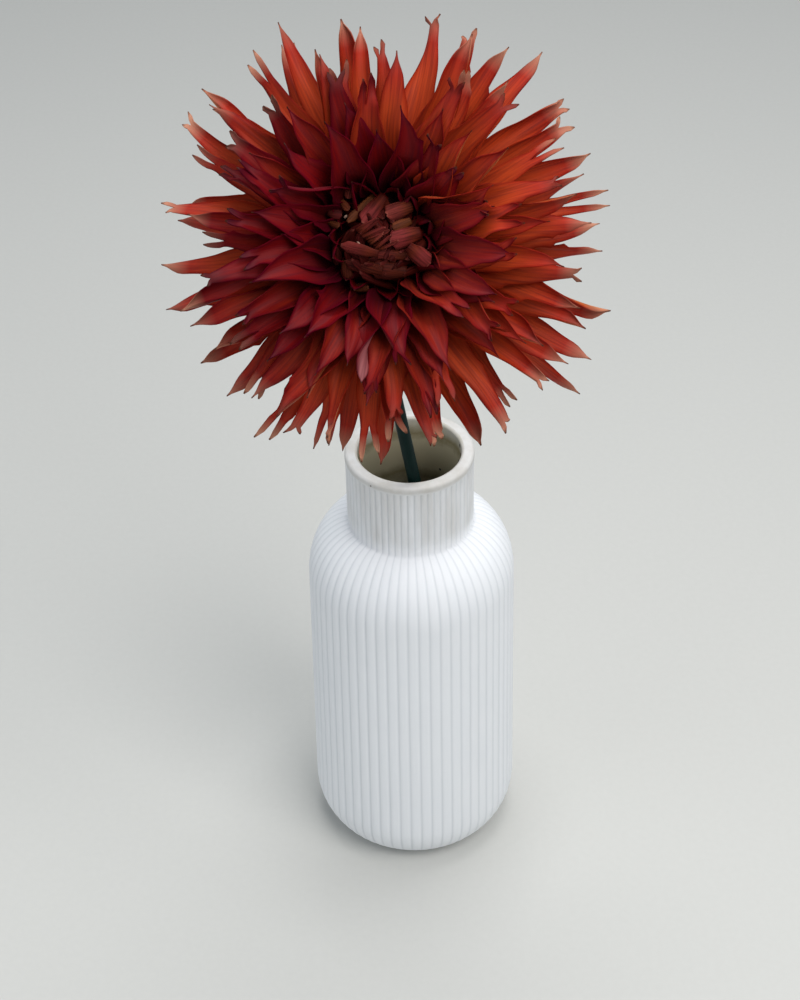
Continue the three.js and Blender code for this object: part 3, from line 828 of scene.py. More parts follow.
def calyx_shape():
    """The calyx: a green cup that widens from the stalk to the flower, with a low rib to each bract."""
    top = CALYX_TOP
    rows = [
        [0, top - CALYX_DEPTH], [2.6, top - CALYX_DEPTH], [4, top - 0.93 * CALYX_DEPTH],
        [5.6, top - 0.8 * CALYX_DEPTH], [7.4, top - 0.6 * CALYX_DEPTH], [9, top - 0.4 * CALYX_DEPTH],
        [10.4, top - 3.2], [11, top - 2], [10.9, top - 0.8], [10.4, top], [0, top]]
    points, faces = turned(rows, CALYX_SIDES)
    angle = np.arctan2(points[:, 1], points[:, 0])
    points[:, :2] *= (1 - 0.035 * (1 + np.cos(CALYX_RIBS * angle)) / 2)[:, None]
    return in_head(points), faces


def bract_rule(i, count, rand):
    """A green bract, bent back towards the stalk."""
    return {
        "azimuth": 2 * math.pi * (i + 0.5 * (rand() - 0.5)) / count,
        "root_radius": CALYX_RADIUS - 2.5, "root_height": CALYX_TOP - 3,
        "start_polar": math.radians(96), "end_polar": math.radians(lerp(135, 160, rand())),
        "length": lerp(17, 23, rand()), "width": lerp(7, 8.5, rand()),
        "claw": 0.7, "roll": 0, "side_bend": 0,
    }


def scale_rule(i, draw):
    """A papery scale, spread under the rays."""
    return {
        "azimuth": i * GOLDEN_ANGLE, "root_radius": 9.5, "root_height": CALYX_TOP - 1.4,
        "start_polar": math.radians(84), "end_polar": math.radians(lerp(98, 106, draw())),
        "length": lerp(15, 20, draw()), "width": lerp(8, 10, draw()), "claw": 0.8, "roll": 0,
        "side_bend": 0.1 * (draw() - 0.5),
    }


def plain_finish(**changes):
    """A blade with no fork, barbs or dry tip, and what differs from that."""
    finish = {
        "fork": 0, "spread": 0, "short": 0, "prong_curl": 0, "prong_lift": 0, "barbs": [], "blunt": 0.5,
        "point": 0.8, "cup": 0.4, "tip_curl": 0.4, "curl_start": 0.3, "ruffle": 0.2, "waves": 1.5, "phase": 0,
        "crease": 0.1, "twist": 0, "twist_start": 0.35, "bow": 0, "hook": 0, "sway": 0, "thick": 0.8,
        "thin": 0.3, "own": 0, "ring": 0, "tone": 0.5, "dry": 0,
    }
    return {**finish, **changes}


class DAHLIA_OT_stem(bpy.types.Operator):
    """Build the stalk, the calyx and its bracts"""
    bl_idname = "dahlia.stem"
    bl_label = "Stem, calyx and bracts"

    def execute(self, context):
        props = context.scene.dahlia_stem
        points, faces, reach = stalk_skin(props.foot_radius / MM, props.top_radius / MM)
        green = stem_tissue(props, "dahlia_stalk_skin", props.flush_red)
        stalk = new_piece("stalk", points, faces, green, {"reach": reach})
        points, faces = calyx_shape()
        flesh = stem_tissue(props, "calyx_skin", props.bract_green)
        cup = new_piece("calyx_cup", points, faces, flesh, {"reach": np.ones(len(points))})
        rand = seeded_draws(BRACT_SEED)
        bracts = Leaves(props.bract_count)
        for i in range(props.bract_count):
            rule = bract_rule(i, props.bract_count, rand)
            add_blade(bracts, rule, plain_finish(own=i, cup=0.4, tip_curl=0.7), 5, 20)
        draw = seeded_draws(SCALE_SEED)
        scales = Leaves(props.scale_count)
        for i in range(props.scale_count):
            finish = plain_finish(own=i + 20, cup=0.3, tip_curl=0.2, ring=1, thick=0.5)
            add_blade(scales, scale_rule(i, draw), finish, 5, 16)
        bract_skin = bract_tissue("bract_skin", props.bract_green, props.stem_green)
        scale_skin = bract_tissue("papery_scale", props.scale_tan, props.bract_green)
        made = [
            stalk, cup, bracts.piece("bracts", bract_skin, in_head),
            scales.piece("scales", scale_skin, in_head)]
        for piece in made:
            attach(piece, "root")
            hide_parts("stem")
        return {"FINISHED"}


def bract_tissue(name, light, dark):
    """Leafy bracts: dull green blades with a paler margin and fine lengthwise veins."""
    material, tree, shader = new_material(name)
    grain = add(tree, "Attribute", attribute_name="grain").outputs["Vector"]
    edge = add(tree, "Attribute", attribute_name="edge").outputs["Fac"]
    # veins 0.8 mm apart
    vein_place = add(tree, "VectorMath", {1: (1.25, 0.06, 1)}, {0: grain}, operation="MULTIPLY")
    veins = add(tree, "TexNoise", {"Scale": 1, "Detail": 2}, {"Vector": vein_place})
    body = add(tree, "Mix", {MIX_A: light, MIX_B: dark}, {MIX_FACTOR: veins},
               data_type="RGBA")
    rim = add(tree, "MapRange", {"From Min": 0.75, "From Max": 1, "To Max": 0.6}, {"Value": edge})
    final = add(tree, "Mix", {MIX_B: light},
                {MIX_FACTOR: rim, MIX_A: body}, data_type="RGBA")
    link(tree, final, shader.inputs["Base Color"])
    bump = add(tree, "Bump", {"Strength": 0.4, "Distance": 0.0002}, {"Height": veins})
    link(tree, bump, shader.inputs["Normal"])
    shader.inputs["Roughness"].default_value = 0.5
    return material


# ---------- ray florets ----------

RAY_COUNT = 126
RAY_SEED = 2141
RAY_FINISH_SEED = 5077
RAY_RINGS = ("inner", "middle", "outer", "back")
RAY_FIRST_AZIMUTH = 45
INNER_RAY = {
    "root_radius": 18.6, "root_height": 3, "start_polar": 12, "end_polar": 62, "length": 31, "width": 17.5,
    "fold": 0.5,
}
OUTER_RAY = {
    "root_radius": 12.5, "root_height": -8, "start_polar": 88, "end_polar": 106, "length": 77, "width": 12.6,
    "fold": 0.36,
}
RAY_SWAY = {
    "azimuth": 6, "end_polar": 7, "length": 0.08, "width": 0.12, "fold": 0.12, "roll": 22, "side_bend": 11,
}
FORKED_SHARE = 0.5
MOST_BARBS = 2
BARB_SHARE = 0.3
# painted light: the rays on this side of the head are given a higher tone, a brighter, more orange red,
# standing in for light that shines through them
GLOW_SIDE_AZIMUTH = 3
# two rays have turned over near their tips: a mauve back shows below the centre, and an amber one at
# the upper right
TURNED_RAYS = (
    {
        "azimuth": math.radians(-95.5), "root_radius": 19, "root_height": 5,
        "start_polar": math.radians(14), "end_polar": math.radians(82), "length": 45, "width": 15,
        "claw": 0.4, "roll": math.radians(60), "side_bend": 0,
    },
    {
        "azimuth": math.radians(66), "root_radius": 12.5, "root_height": -8,
        "start_polar": math.radians(88), "end_polar": math.radians(84), "length": 66, "width": 9,
        "claw": 0.4, "roll": math.radians(95), "side_bend": math.radians(-14),
    },
)
TURNED_RAY_TWIST = math.radians(115)
# where each starts to turn, and its ring and tone for the colours: a high tone pales its back
TURNED_RAY_LOOKS = ((0.5, -1.5, 2), (0.35, 1, 0.7))
# three broad inner rays that lie open to the right of the centre: azimuth, end polar angle, length, width
FACING_RAYS = ((20, 100, 36, 15), (-2, 99, 43, 16), (-21, 98, 40, 15))
# they rise nearly upright, from higher on the receptacle than the rays round them
FACING_ROOT_RADIUS, FACING_ROOT_HEIGHT, FACING_START_POLAR = 18.4, 9, 4
HALF_OPEN_COUNT = 13
# a tone below 0 darkens the back of a half-open floret
HALF_OPEN_TONE = -1
PALE_BACK_TONE = 2
RECEPTACLE_SIDES = 64


def ray_rule(i, rand):
    """Where ray i stands and how it bends: from those round the centre to those behind the head."""
    t = (i + 0.5) / RAY_COUNT

    def between(name, power=1.0):
        return lerp(INNER_RAY[name], OUTER_RAY[name], t ** power)

    def sway(name):
        return RAY_SWAY[name] * (2 * rand() - 1)

    rule = {
        "azimuth": i * GOLDEN_ANGLE + math.radians(RAY_FIRST_AZIMUTH + sway("azimuth")),
        "root_radius": between("root_radius"),
        "root_height": between("root_height"),
        "start_polar": math.radians(between("start_polar")),
        "end_polar": math.radians(between("end_polar", 0.95) + sway("end_polar")),
        "length": between("length", 0.55) * (1 + sway("length")),
        "width": between("width", 0.6) * (1 + sway("width")),
        "fold": between("fold") + sway("fold"),
        "roll": math.radians(sway("roll")),
        "side_bend": math.radians(sway("side_bend")),
        "claw": 0.4,
    }
    is_forked = rand() < FORKED_SHARE
    fork_draw = rand()
    return rule, t, (fork_draw if is_forked else None)


def facing_rule(azimuth, end_polar, length, width):
    return {
        "azimuth": math.radians(azimuth), "root_radius": FACING_ROOT_RADIUS,
        "root_height": FACING_ROOT_HEIGHT, "start_polar": math.radians(FACING_START_POLAR),
        "end_polar": math.radians(end_polar), "length": length, "width": width, "claw": 0.5, "roll": 0,
        "side_bend": 0,
    }


def facing_finish(place):
    return plain_finish(
        point=0.8, blunt=0.6, cup=0.5, tip_curl=0.9, ruffle=0.9, waves=1.4, phase=0.3 * place + 0.2,
        crease=0.16, thick=0.55, thin=0.28, own=0.61 + 0.1 * place, ring=0.1, tone=0.54)


def turned_finish(start, ring, tone):
    return plain_finish(
        point=0.9, blunt=0.3, thick=0.55, own=0.37, ring=ring, tone=tone, twist=TURNED_RAY_TWIST,
        twist_start=start)


def half_open_rule(i, draw):
    """A floret beside the centre that still stands up round it like a cup."""
    return {
        "azimuth": 2 * math.pi * (i + 0.6 * (draw() - 0.5)) / HALF_OPEN_COUNT,
        "root_radius": CENTRE_RADIUS + 0.6, "root_height": RECEPTACLE_TOP - 2,
        "start_polar": math.radians(lerp(-4, 8, draw())), "end_polar": math.radians(lerp(-12, 48, draw())),
        "length": lerp(12, 19, draw()), "width": lerp(8.5, 13, draw()), "claw": 0.75,
        "roll": math.radians(lerp(-30, 30, draw())), "side_bend": 0,
    }


def half_open_finish(draw):
    return plain_finish(
        own=draw(), cup=lerp(1.1, 1.9, draw()), tip_curl=lerp(1, 2.4, draw()), blunt=1, point=0.8, ruffle=1,
        phase=draw(), twist=math.radians(lerp(-30, 30, draw())), ring=0, tone=HALF_OPEN_TONE, thick=0.5)


def ray_finish(rule, t, fork_draw, draw):
    """The fine shape and colour of one ray: how its margins roll, its prongs, barbs and dry tip."""
    rolls_back = draw() < lerp(0.35, 0.4, t)
    tip_curl = -lerp(0.4, 1.5, draw()) if rolls_back else lerp(0.9, 2.4, draw()) * lerp(0.5, 1, t ** 0.5)
    fork = 0 if fork_draw is None else lerp(3.5, lerp(9, 27, t), fork_draw ** 1.7)
    barbs = []
    for _ in range(MOST_BARBS):
        place = lerp(0.5, 0.82, draw())
        hand = -1 if draw() < 0.5 else 1
        size = lerp(0.9, 2.4, draw())
        if draw() < BARB_SHARE:
            barbs.append((place, hand, size))
    # painted light: a brighter, more orange tone towards the glow side
    glow_side = math.cos(rule["azimuth"] - math.radians(GLOW_SIDE_AZIMUTH))
    # painted shade: the inner rays above the centre get a lower tone, so a darker crimson
    shaded_above = max(0, math.sin(rule["azimuth"])) ** 3 * (1 - smooth(t, 0.1, 0.45))
    return plain_finish(
        fork=min(fork, 0.4 * rule["length"]), spread=lerp(0.6, 2.6, draw()), short=lerp(0, 5, draw()) * t,
        prong_curl=lerp(0.4, 2.2, draw()), prong_lift=lerp(-1.4, 1.4, draw()), barbs=barbs,
        blunt=t ** 0.7, point=lerp(0.72, 0.9, t),
        cup=2 * math.atan(rule["fold"]) * lerp(0.75, 1, draw()) + 0.5 * (1 - smooth(t, 0.05, 0.25)),
        tip_curl=tip_curl, curl_start=lerp(0.3, 0.6, draw()), ruffle=lerp(0.3, 1.5, draw()),
        waves=lerp(0.8, 2.4, draw()), phase=draw(), crease=lerp(0.04, 0.22, draw()),
        twist=math.radians(lerp(-44, 44, draw())), bow=lerp(-1.6, 1.6, draw()), hook=lerp(-2, 3, draw()),
        sway=lerp(-3, 3, draw()), thick=0.55, thin=0.28, own=draw(), ring=t,
        tone=0.6 * draw() + 0.23 + 0.37 * glow_side - 0.3 * shaded_above,
        dry=lerp(0.25, 1, draw()) * smooth(t, 0.3, 0.65))


def petal_face(tree, reach, edge, outerness, props):
    """The face: crimson on the inner petals, rising from a claw darkened with painted shade, vermilion and
    scarlet on the outer ones, with a deeper margin."""
    outer = add(tree, "ValToRGB", links={"Fac": reach}, stops=[
        (0, props.throat), (0.35, props.vermilion), (0.66, props.vermilion), (0.88, props.scarlet),
        (1, props.crimson)])
    # painted shade: the inner petals are drawn dark at their bases, deep between the petals
    inner = add(tree, "ValToRGB", links={"Fac": reach}, stops=[
        (0, props.claw_shade), (0.32, props.claw_shade), (0.62, props.crimson), (0.82, props.crimson),
        (1, props.purple)])
    face = add(tree, "Mix", links={
        MIX_FACTOR: outerness, MIX_A: inner, MIX_B: outer}, data_type="RGBA")
    rim = add(tree, "MapRange", {"From Min": 0.5, "From Max": 1.0, "To Max": 0.55}, {"Value": edge},
              interpolation_type="SMOOTHSTEP")
    rim_colour = add(tree, "Mix", {MIX_A: props.purple, MIX_B: props.crimson},
                     {MIX_FACTOR: outerness}, data_type="RGBA")
    rimmed = add(tree, "Mix", links={
        MIX_FACTOR: rim, MIX_A: face, MIX_B: rim_colour},
        data_type="RGBA")
    return rimmed


def petal_back(tree, tone, outerness, props):
    """The back: amber on the outer petals, and on the inner ones mauve, darker or paler by their tone."""
    opened = add(tree, "MapRange", {"From Min": HALF_OPEN_TONE, "From Max": PALE_BACK_TONE},
                 {"Value": tone})
    inner_back = add(tree, "ValToRGB", links={"Fac": opened}, stops=[
        (0, props.back_maroon), (0.33, props.back_mauve), (0.8, props.back_mauve), (1, props.back_pale)])
    back = add(tree, "Mix", {MIX_B: props.back_amber},
               {MIX_FACTOR: outerness, MIX_A: inner_back.outputs["Color"]}, data_type="RGBA")
    return back


def dry_tip(tree, colour, reach, dry, props):
    """The last few millimetres of some petals are tan, and each petal ends in a dark point."""
    last = add(tree, "MapRange", {"From Min": 0.85, "From Max": 0.98}, {"Value": reach})
    dry_share = add(tree, "Math", links={0: last, 1: dry}, operation="MULTIPLY",
                    use_clamp=True)
    dried = add(tree, "Mix", {MIX_B: props.tip_tan},
                {MIX_FACTOR: dry_share, MIX_A: colour}, data_type="RGBA")
    point = add(tree, "MapRange", {"From Min": 0.975, "From Max": 1, "To Max": 0.85},
                {"Value": reach})
    final = add(tree, "Mix", {MIX_B: props.tip_brown},
                {MIX_FACTOR: point, MIX_A: dried}, data_type="RGBA")
    return final


def floret_tissue(props):
    """Living petal: water-filled cells give depth and a satin skin, red anthocyanin over a yellow
    ground gives scarlet, and purple where it is densest. Veins run its whole length."""
    material, tree, shader = new_material("dahlia_petal")
    grain = add(tree, "Attribute", attribute_name="grain").outputs["Vector"]
    reach, edge, ring, tone, dry, front = (
        add(tree, "Attribute", attribute_name=name).outputs["Fac"]
        for name in ("reach", "edge", "ring", "tone", "dry", "front"))
    # veins 0.7 mm apart, running the length of the petal; broad flames 3.3 mm wide
    vein_place = add(tree, "VectorMath", {1: (1.45, 0.045, 1)}, {0: grain}, operation="MULTIPLY")
    veins = add(tree, "TexNoise", {"Scale": 1, "Detail": 2, "Roughness": 0.55},
                {"Vector": vein_place})
    flame_place = add(tree, "VectorMath", {1: (0.3, 0.035, 1)}, {0: grain}, operation="MULTIPLY")
    flames = add(tree, "TexNoise", {"Scale": 1, "Detail": 3, "Roughness": 0.6},
                 {"Vector": flame_place})
    # how much of an outer petal's colours a place has, by its ring, its tone and the flames
    ring_tone = add(tree, "Math", {1: 0.9}, {0: tone, 2: ring}, operation="MULTIPLY_ADD")
    flamed = add(tree, "Math", {1: 0.5}, {0: flames, 2: ring_tone},
                 operation="MULTIPLY_ADD")
    outerness = add(tree, "MapRange", {"From Min": 0.66, "From Max": 1.42},
                    {"Value": flamed}, interpolation_type="SMOOTHSTEP")
    # the red of the face runs a little way round the margin on to the back
    over_margin = add(tree, "MapRange", {"From Min": 0.5, "From Max": 0.9, "To Max": 0.85},
                      {"Value": edge})
    face_share = add(tree, "Math", links={0: front, 1: over_margin}, operation="MAXIMUM")
    side = add(tree, "Mix", links={
        MIX_FACTOR: face_share, MIX_A: petal_back(tree, tone, outerness, props),
        MIX_B: petal_face(tree, reach, edge, outerness, props)}, data_type="RGBA")
    vein_shade = add(tree, "MapRange", {"From Min": 0.42, "From Max": 0.7, "To Max": 0.45},
                     {"Value": veins})
    veined = add(tree, "Mix", {MIX_B: props.purple},
                 {MIX_FACTOR: vein_shade, MIX_A: side}, data_type="RGBA")
    final = dry_tip(tree, veined, reach, dry, props)
    link(tree, final, shader.inputs["Base Color"])
    bump = add(tree, "Bump", {"Strength": 0.55, "Distance": 0.0003}, {"Height": veins})
    link(tree, bump, shader.inputs["Normal"])
    # the satin skin thins out towards the margin, which stays dull
    satin = add(tree, "MapRange", {"From Min": 0.6, "From Max": 0.95, "To Min": 0.16, "To Max": 0.01},
                {"Value": edge})
    link(tree, satin, shader.inputs["Specular IOR Level"])
    shader.inputs["Roughness"].default_value = 0.56
    shader.inputs["IOR"].default_value = 1.42
    return material


class RayProps(bpy.types.PropertyGroup):
    """Colours of the ray florets"""
    throat: colour_prop("Throat", "The yellow-red ground at the petal's base", "#B04A14")
    vermilion: colour_prop("Vermilion", "The outer petals' middle", "#B6401C")
    scarlet: colour_prop("Scarlet", "The outer petals", "#A62A1C")
    crimson: colour_prop("Crimson", "The inner petals and margins", "#6E060A")
    claw_shade: colour_prop("Claw shade", "Painted shade at the inner petals' bases", "#3A0306")
    purple: colour_prop("Purple", "Margins, veins and tips of the inner petals", "#3A0416")
    back_maroon: colour_prop("Maroon back", "The back of the half-open petals", "#480C10")
    back_mauve: colour_prop("Mauve back", "The back of the inner petals", "#742C32")
    back_pale: colour_prop("Pale back", "The back of a petal that has turned over", "#945456")
    back_amber: colour_prop("Amber back", "The back of the outer petals", "#C8743A")
    tip_tan: colour_prop("Tan tip", "Tips that have begun to dry", "#C28A70")
    tip_brown: colour_prop("Brown point", "The hard point at the end", "#4A2A1C")
    flesh_dark: colour_prop("Dark flesh", "The receptacle between the petals' claws", "#1C0405")
    flesh_red: colour_prop("Red flesh", "Round the scars of the receptacle", "#380C0A")


class DAHLIA_OT_ray_florets(bpy.types.Operator):
    """Build the rings of ray florets and the receptacle that carries them"""
    bl_idname = "dahlia.ray_florets"
    bl_label = "Ray florets"

    def execute(self, context):
        props = context.scene.dahlia_rays
        tissue = floret_tissue(props)
        rand = seeded_draws(RAY_SEED)
        draw = seeded_draws(RAY_FINISH_SEED)
        share = math.ceil(RAY_COUNT / len(RAY_RINGS))
        rings = [Leaves(share + 1 + len(FACING_RAYS)) for _ in RAY_RINGS]
        for i in range(RAY_COUNT):
            rule, t, fork_draw = ray_rule(i, rand)
            add_blade(rings[i // share], rule, ray_finish(rule, t, fork_draw, draw))
        for rule, leaves, looks in zip(TURNED_RAYS, (rings[0], rings[-1]), TURNED_RAY_LOOKS):
            add_blade(leaves, rule, turned_finish(*looks))
        for place, row in enumerate(FACING_RAYS):
            add_blade(rings[0], facing_rule(*row), facing_finish(place))
        half_open = Leaves(HALF_OPEN_COUNT, 1.6)
        for i in range(HALF_OPEN_COUNT):
            add_blade(half_open, half_open_rule(i, draw), half_open_finish(draw), 5, 24)
        made = [ring.piece(f"ray_florets_{name}", tissue, in_head) for name, ring in zip(RAY_RINGS, rings)]
        made += [half_open.piece("ray_florets_half_open", tissue, in_head), receptacle(props)]
        for piece in made:
            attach(piece, "root")
            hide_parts("ray_florets")
        return {"FINISHED"}


def receptacle(props):
    """The fleshy disc that the florets grow from, seen only between their claws."""
    rows = [
        [0, RECEPTACLE_BOTTOM], [7, RECEPTACLE_BOTTOM], [9, RECEPTACLE_BOTTOM + 0.4], [12, -9.5], [15, -6],
        [RECEPTACLE_RADIUS - 0.5, 0], [RECEPTACLE_RADIUS, 5], [RECEPTACLE_RADIUS - 1, RECEPTACLE_TOP],
        [0, RECEPTACLE_TOP]]
    points, faces = turned(rows, RECEPTACLE_SIDES)
    material, tree, shader = new_material("receptacle_flesh")
    place = add(tree, "NewGeometry").outputs["Position"]
    # the scars of florets, 2.4 mm apart
    scars = add(tree, "TexVoronoi", {"Scale": 420}, {"Vector": place})
    flesh = add(tree, "Mix", {MIX_A: props.flesh_dark, MIX_B: props.flesh_red},
                {MIX_FACTOR: scars.outputs["Distance"]}, data_type="RGBA")
    link(tree, flesh, shader.inputs["Base Color"])
    shader.inputs["Roughness"].default_value = 0.7
    shader.inputs["Specular IOR Level"].default_value = 0.15
    return new_piece("receptacle", in_head(points), faces, material)


# ---------- unopened florets of the centre ----------

CENTRE_COUNT = 28
CENTRE_SEED = 911
CENTRE_EYE_OFFSET = 5
MIDDLE_FLORET = {"length": 6.5, "width": 3.4, "climb": 0.25}
EDGE_FLORET = {"length": 15, "width": 7, "climb": 1.2}
# the florets that stand out of the swirl: the foot's and the tip's place across the head, the width, the rise
# over the dome, how red and dark, partly as painted shade, and how olive
STANDING_FLORETS = (
    ((-3.5, 17.5), (-13, 7), 3.2, 5, 0.1, 0.85),
    ((-0.5, 16.5), (-6.7, 7), 6.8, 3.6, 0.25, 0),
    ((9.3, 13.3), (1, 10.4), 6, 3.4, 0.15, 0.2),
    ((9.6, 8.2), (4, 5.6), 4, 2.6, 0.3, 0.8),
    ((12.8, 3.9), (2.8, 0.9), 7, 2.8, 0.15, 0),
    ((9, -4.2), (-4, -2.5), 5, 2.4, 0.35, 0.2),
    ((-2, -3.5), (-15, -1), 4.4, 3.2, 0.45, 0.1),
    ((8, -10), (-4, -9), 7, 2.6, 0.75, 0.5),
    ((-1, -9.5), (-14, -6), 5.4, 2.8, 0.65, 0.3),
    ((10.8, -1.6), (18.3, -7.5), 6.4, 5.5, 0, 0),
    ((-12.4, 20.5), (-13.4, 15.5), 3.6, 7, 0.3, 0.3),
    ((-15.5, 14.5), (-12, 11), 2.6, 5, 0.3, 0.7),
    ((-20, 10.5), (-15, 10), 4.2, 7, 0.6, 0),
    ((-19.5, 6.5), (-15.5, 5.8), 2.2, 6, 0.3, 0.8),
    ((-17.5, -1), (-17, -9), 3.6, 5, 0.8, 0.2),
    ((-13, -7.5), (-12.6, -14), 4.2, 4, 0.6, 0.6),
    ((-11, -17), (-4.5, -16.5), 3.6, 4.5, 0.4, 0.8),
    ((-5.4, -3), (-8.8, 0.6), 0.6, 4.2, -1, 0),
    ((-13.2, 9.6), (-14, 8.7), 0.7, 6, -1, 0),
)
# a standing floret's tip lies no more than this below its foot
STANDING_DIP = 2
# the swirl itself lies this much lower than the dome
SWIRL_DROP = 2.6
# thin florets seen edge-on fan out of the swirl's eye: where the first has its foot, how far on each
# next one has, and how high above the dome
EYE_FLORETS = 10
EYE_START, EYE_STEP, EYE_RISE = (-8.5, 5), (0.9, -0.8), 2.2
CENTRE_FINISH_SEED = 3301
HEART_SIDES = 48


def dome(distance, azimuth):
    """A point on the dome of the centre, by its distance from the axis."""
    share = min(1, distance / CENTRE_RADIUS)
    height = lerp(RECEPTACLE_TOP + 2, CENTRE_TOP - 5, math.sqrt(1 - share * share))
    return np.array([distance * math.cos(azimuth), distance * math.sin(azimuth), height])


def centre_place(i, rand):
    """Where floret i lies over the dome, pointing inward past the swirl's eye, and its size."""
    spread = math.sqrt((i + 0.5) / CENTRE_COUNT)
    azimuth = i * GOLDEN_ANGLE
    foot = dome(spread * CENTRE_RADIUS * 0.9, azimuth)
    inward = (dome(CENTRE_EYE_OFFSET, math.pi) - foot) * [1, 1, 0]
    swirl = math.radians(lerp(28, 50, rand()))
    x, y, _ = unit(inward)
    heading = np.array([
        x * math.cos(swirl) - y * math.sin(swirl), x * math.sin(swirl) + y * math.cos(swirl), 0])
    heading[2] = lerp(MIDDLE_FLORET["climb"], EDGE_FLORET["climb"], spread ** 2) + 0.2 * rand()
    length = lerp(MIDDLE_FLORET["length"], EDGE_FLORET["length"], spread) * lerp(0.85, 1.15, rand())
    return foot, unit(heading), length, lerp(MIDDLE_FLORET["width"], EDGE_FLORET["width"], spread), spread


def over_dome(place, rise):
    point = dome(math.hypot(*place), math.atan2(place[1], place[0]))
    return point + [0, 0, rise]


def add_strap(leaves, foot, along, length, width, spread, draw, redness_and_shade=None, olive=None):
    """One unopened floret: a strap with its back outward, margins tucked under, a blunt notched tip. One of
    the standing florets has its own red tone, partly painted shade, and holds its shape more than the others."""
    half_columns, steps = 4, 16
    is_standing = redness_and_shade is not None
    side = unit(np.cross([0, 0, 1], along))
    up = np.cross(along, side)
    s = np.linspace(0, 1, steps + 1)
    u = np.linspace(-1, 1, 2 * half_columns + 1)
    grid_u, grid_s = np.meshgrid(u, s)
    place = lerp(-0.12 if is_standing else -0.35, 1, grid_s)
    notch = lerp(0.02, 0.1, draw()) * (1 - np.abs(grid_u) ** 1.5) + 0.1 * grid_u ** 4
    place = place - notch * smooth(grid_s, 0.75, 1)
    fullness = lerp(0.9 if is_standing else 0.62, 1.08, draw())
    blunt_end = np.sqrt(1 - 0.9 * smooth(grid_s, 0.7, 1) ** 3)
    half = width / 2 * fullness * lerp(0.6, 1, smooth(grid_s, 0, 0.5)) * blunt_end
    tuck = -lerp(0.5, 1.3, draw())
    x, y = section(grid_u, half, tuck)
    x, y = rotated(x, y, lerp(-0.9, 0.9, draw()) * grid_s * (0.4 if is_standing else 1))
    fold = -1.8 * place ** 2 * spread * np.sign(place) + 0.12 * np.cos(3 * np.pi * grid_u)
    lift = y + fold + lerp(-1.3, 1.4, draw())
    points = foot + along * (place * length)[..., None] + side * x[..., None] + up * lift[..., None]
    count = points.shape[0] * points.shape[1]
    faces = quads_of(np.arange(count).reshape(points.shape[:2]))
    edge = np.abs(grid_u).ravel()
    grain = np.stack([x.ravel(), grid_s.ravel() * length, np.full(count, 97 * draw())], 1)
    # painted shade: most swirl florets get a high tone, which draws them dark red
    own_redness_and_shade, own_olive = lerp(0.62, 1.05, draw()), 0.35 * draw()
    values = {
        "edge": edge, "tone": redness_and_shade if is_standing else own_redness_and_shade,
        "olive": olive if is_standing else own_olive, "grain": grain,
    }
    thickness = lerp(0.5, 0.25, edge ** 2)
    leaves.add_sheet(points.reshape(-1, 3), faces, thickness, grid_u.ravel(), grid_s.ravel(), values)


def lay_swirl(straps, rand, draw):
    """The swirl, where each of the solid straps is two narrower florets, side by side."""
    for i in range(CENTRE_COUNT):
        foot, heading, length, width, spread = centre_place(i, rand)
        side = unit(np.cross([0, 0, 1], heading))
        for hand in (-1, 1):
            own_foot = foot + side * hand * 0.27 * width - [0, 0, SWIRL_DROP]
            own_length = length * lerp(0.84, 1.06, draw())
            add_strap(straps, own_foot, heading, own_length, 0.62 * width, spread, draw)


def stand_florets(straps, draw):
    for foot_place, tip_place, width, rise, redness_and_shade, olive in STANDING_FLORETS:
        foot, tip = over_dome(foot_place, rise), over_dome(tip_place, rise)
        tip[2] = max(tip[2], foot[2] - STANDING_DIP)
        length = float(np.linalg.norm(tip - foot))
        add_strap(straps, foot, unit(tip - foot), length, width, 0.3, draw, redness_and_shade, olive)


def fan_eye(straps, draw):
    for i in range(EYE_FLORETS):
        foot = over_dome([start + step * i for start, step in zip(EYE_START, EYE_STEP)], EYE_RISE)
        heading = math.radians(lerp(16, 46, draw()))
        along = unit(np.array([math.cos(heading), math.sin(heading), 0.15]))
        length = lerp(5, 9, draw())
        width = lerp(0.9, 1.8, draw())
        redness_and_shade = lerp(0.1, 0.7, draw())
        add_strap(straps, foot, along, length, width, 0, draw, redness_and_shade, 0.3 * draw())


def centre_heart(props):
    """The heart that fills the swirl, seen only between the florets, drawn near black as painted shade of the
    deep gaps between them.
    """
    rows = [
        [0, RECEPTACLE_TOP + 0.3], [CENTRE_RADIUS * 0.6, RECEPTACLE_TOP + 0.3],
        [CENTRE_RADIUS * 0.66, RECEPTACLE_TOP + 1], [CENTRE_RADIUS * 0.66, 12.5],
        [CENTRE_RADIUS * 0.5, 16.5], [CENTRE_RADIUS * 0.24, 18.5], [0, 19]]
    points, faces = turned(rows, HEART_SIDES)
    material, tree, shader = new_material("bud_heart_shade")
    place = add(tree, "NewGeometry").outputs["Position"]
    # a mottle of 2 mm
    mottle = add(tree, "TexNoise", {"Scale": 500, "Detail": 2}, {"Vector": place})
    # painted shade: the heart is near black, mottled with dark red
    dark = add(tree, "Mix", {MIX_A: props.heart_shade_dark, MIX_B: props.heart_shade_red},
               {MIX_FACTOR: mottle}, data_type="RGBA")
    link(tree, dark, shader.inputs["Base Color"])
    shader.inputs["Roughness"].default_value = 0.8
    shader.inputs["Specular IOR Level"].default_value = 0.1
    return new_piece("centre_heart", in_head(points), faces, material)


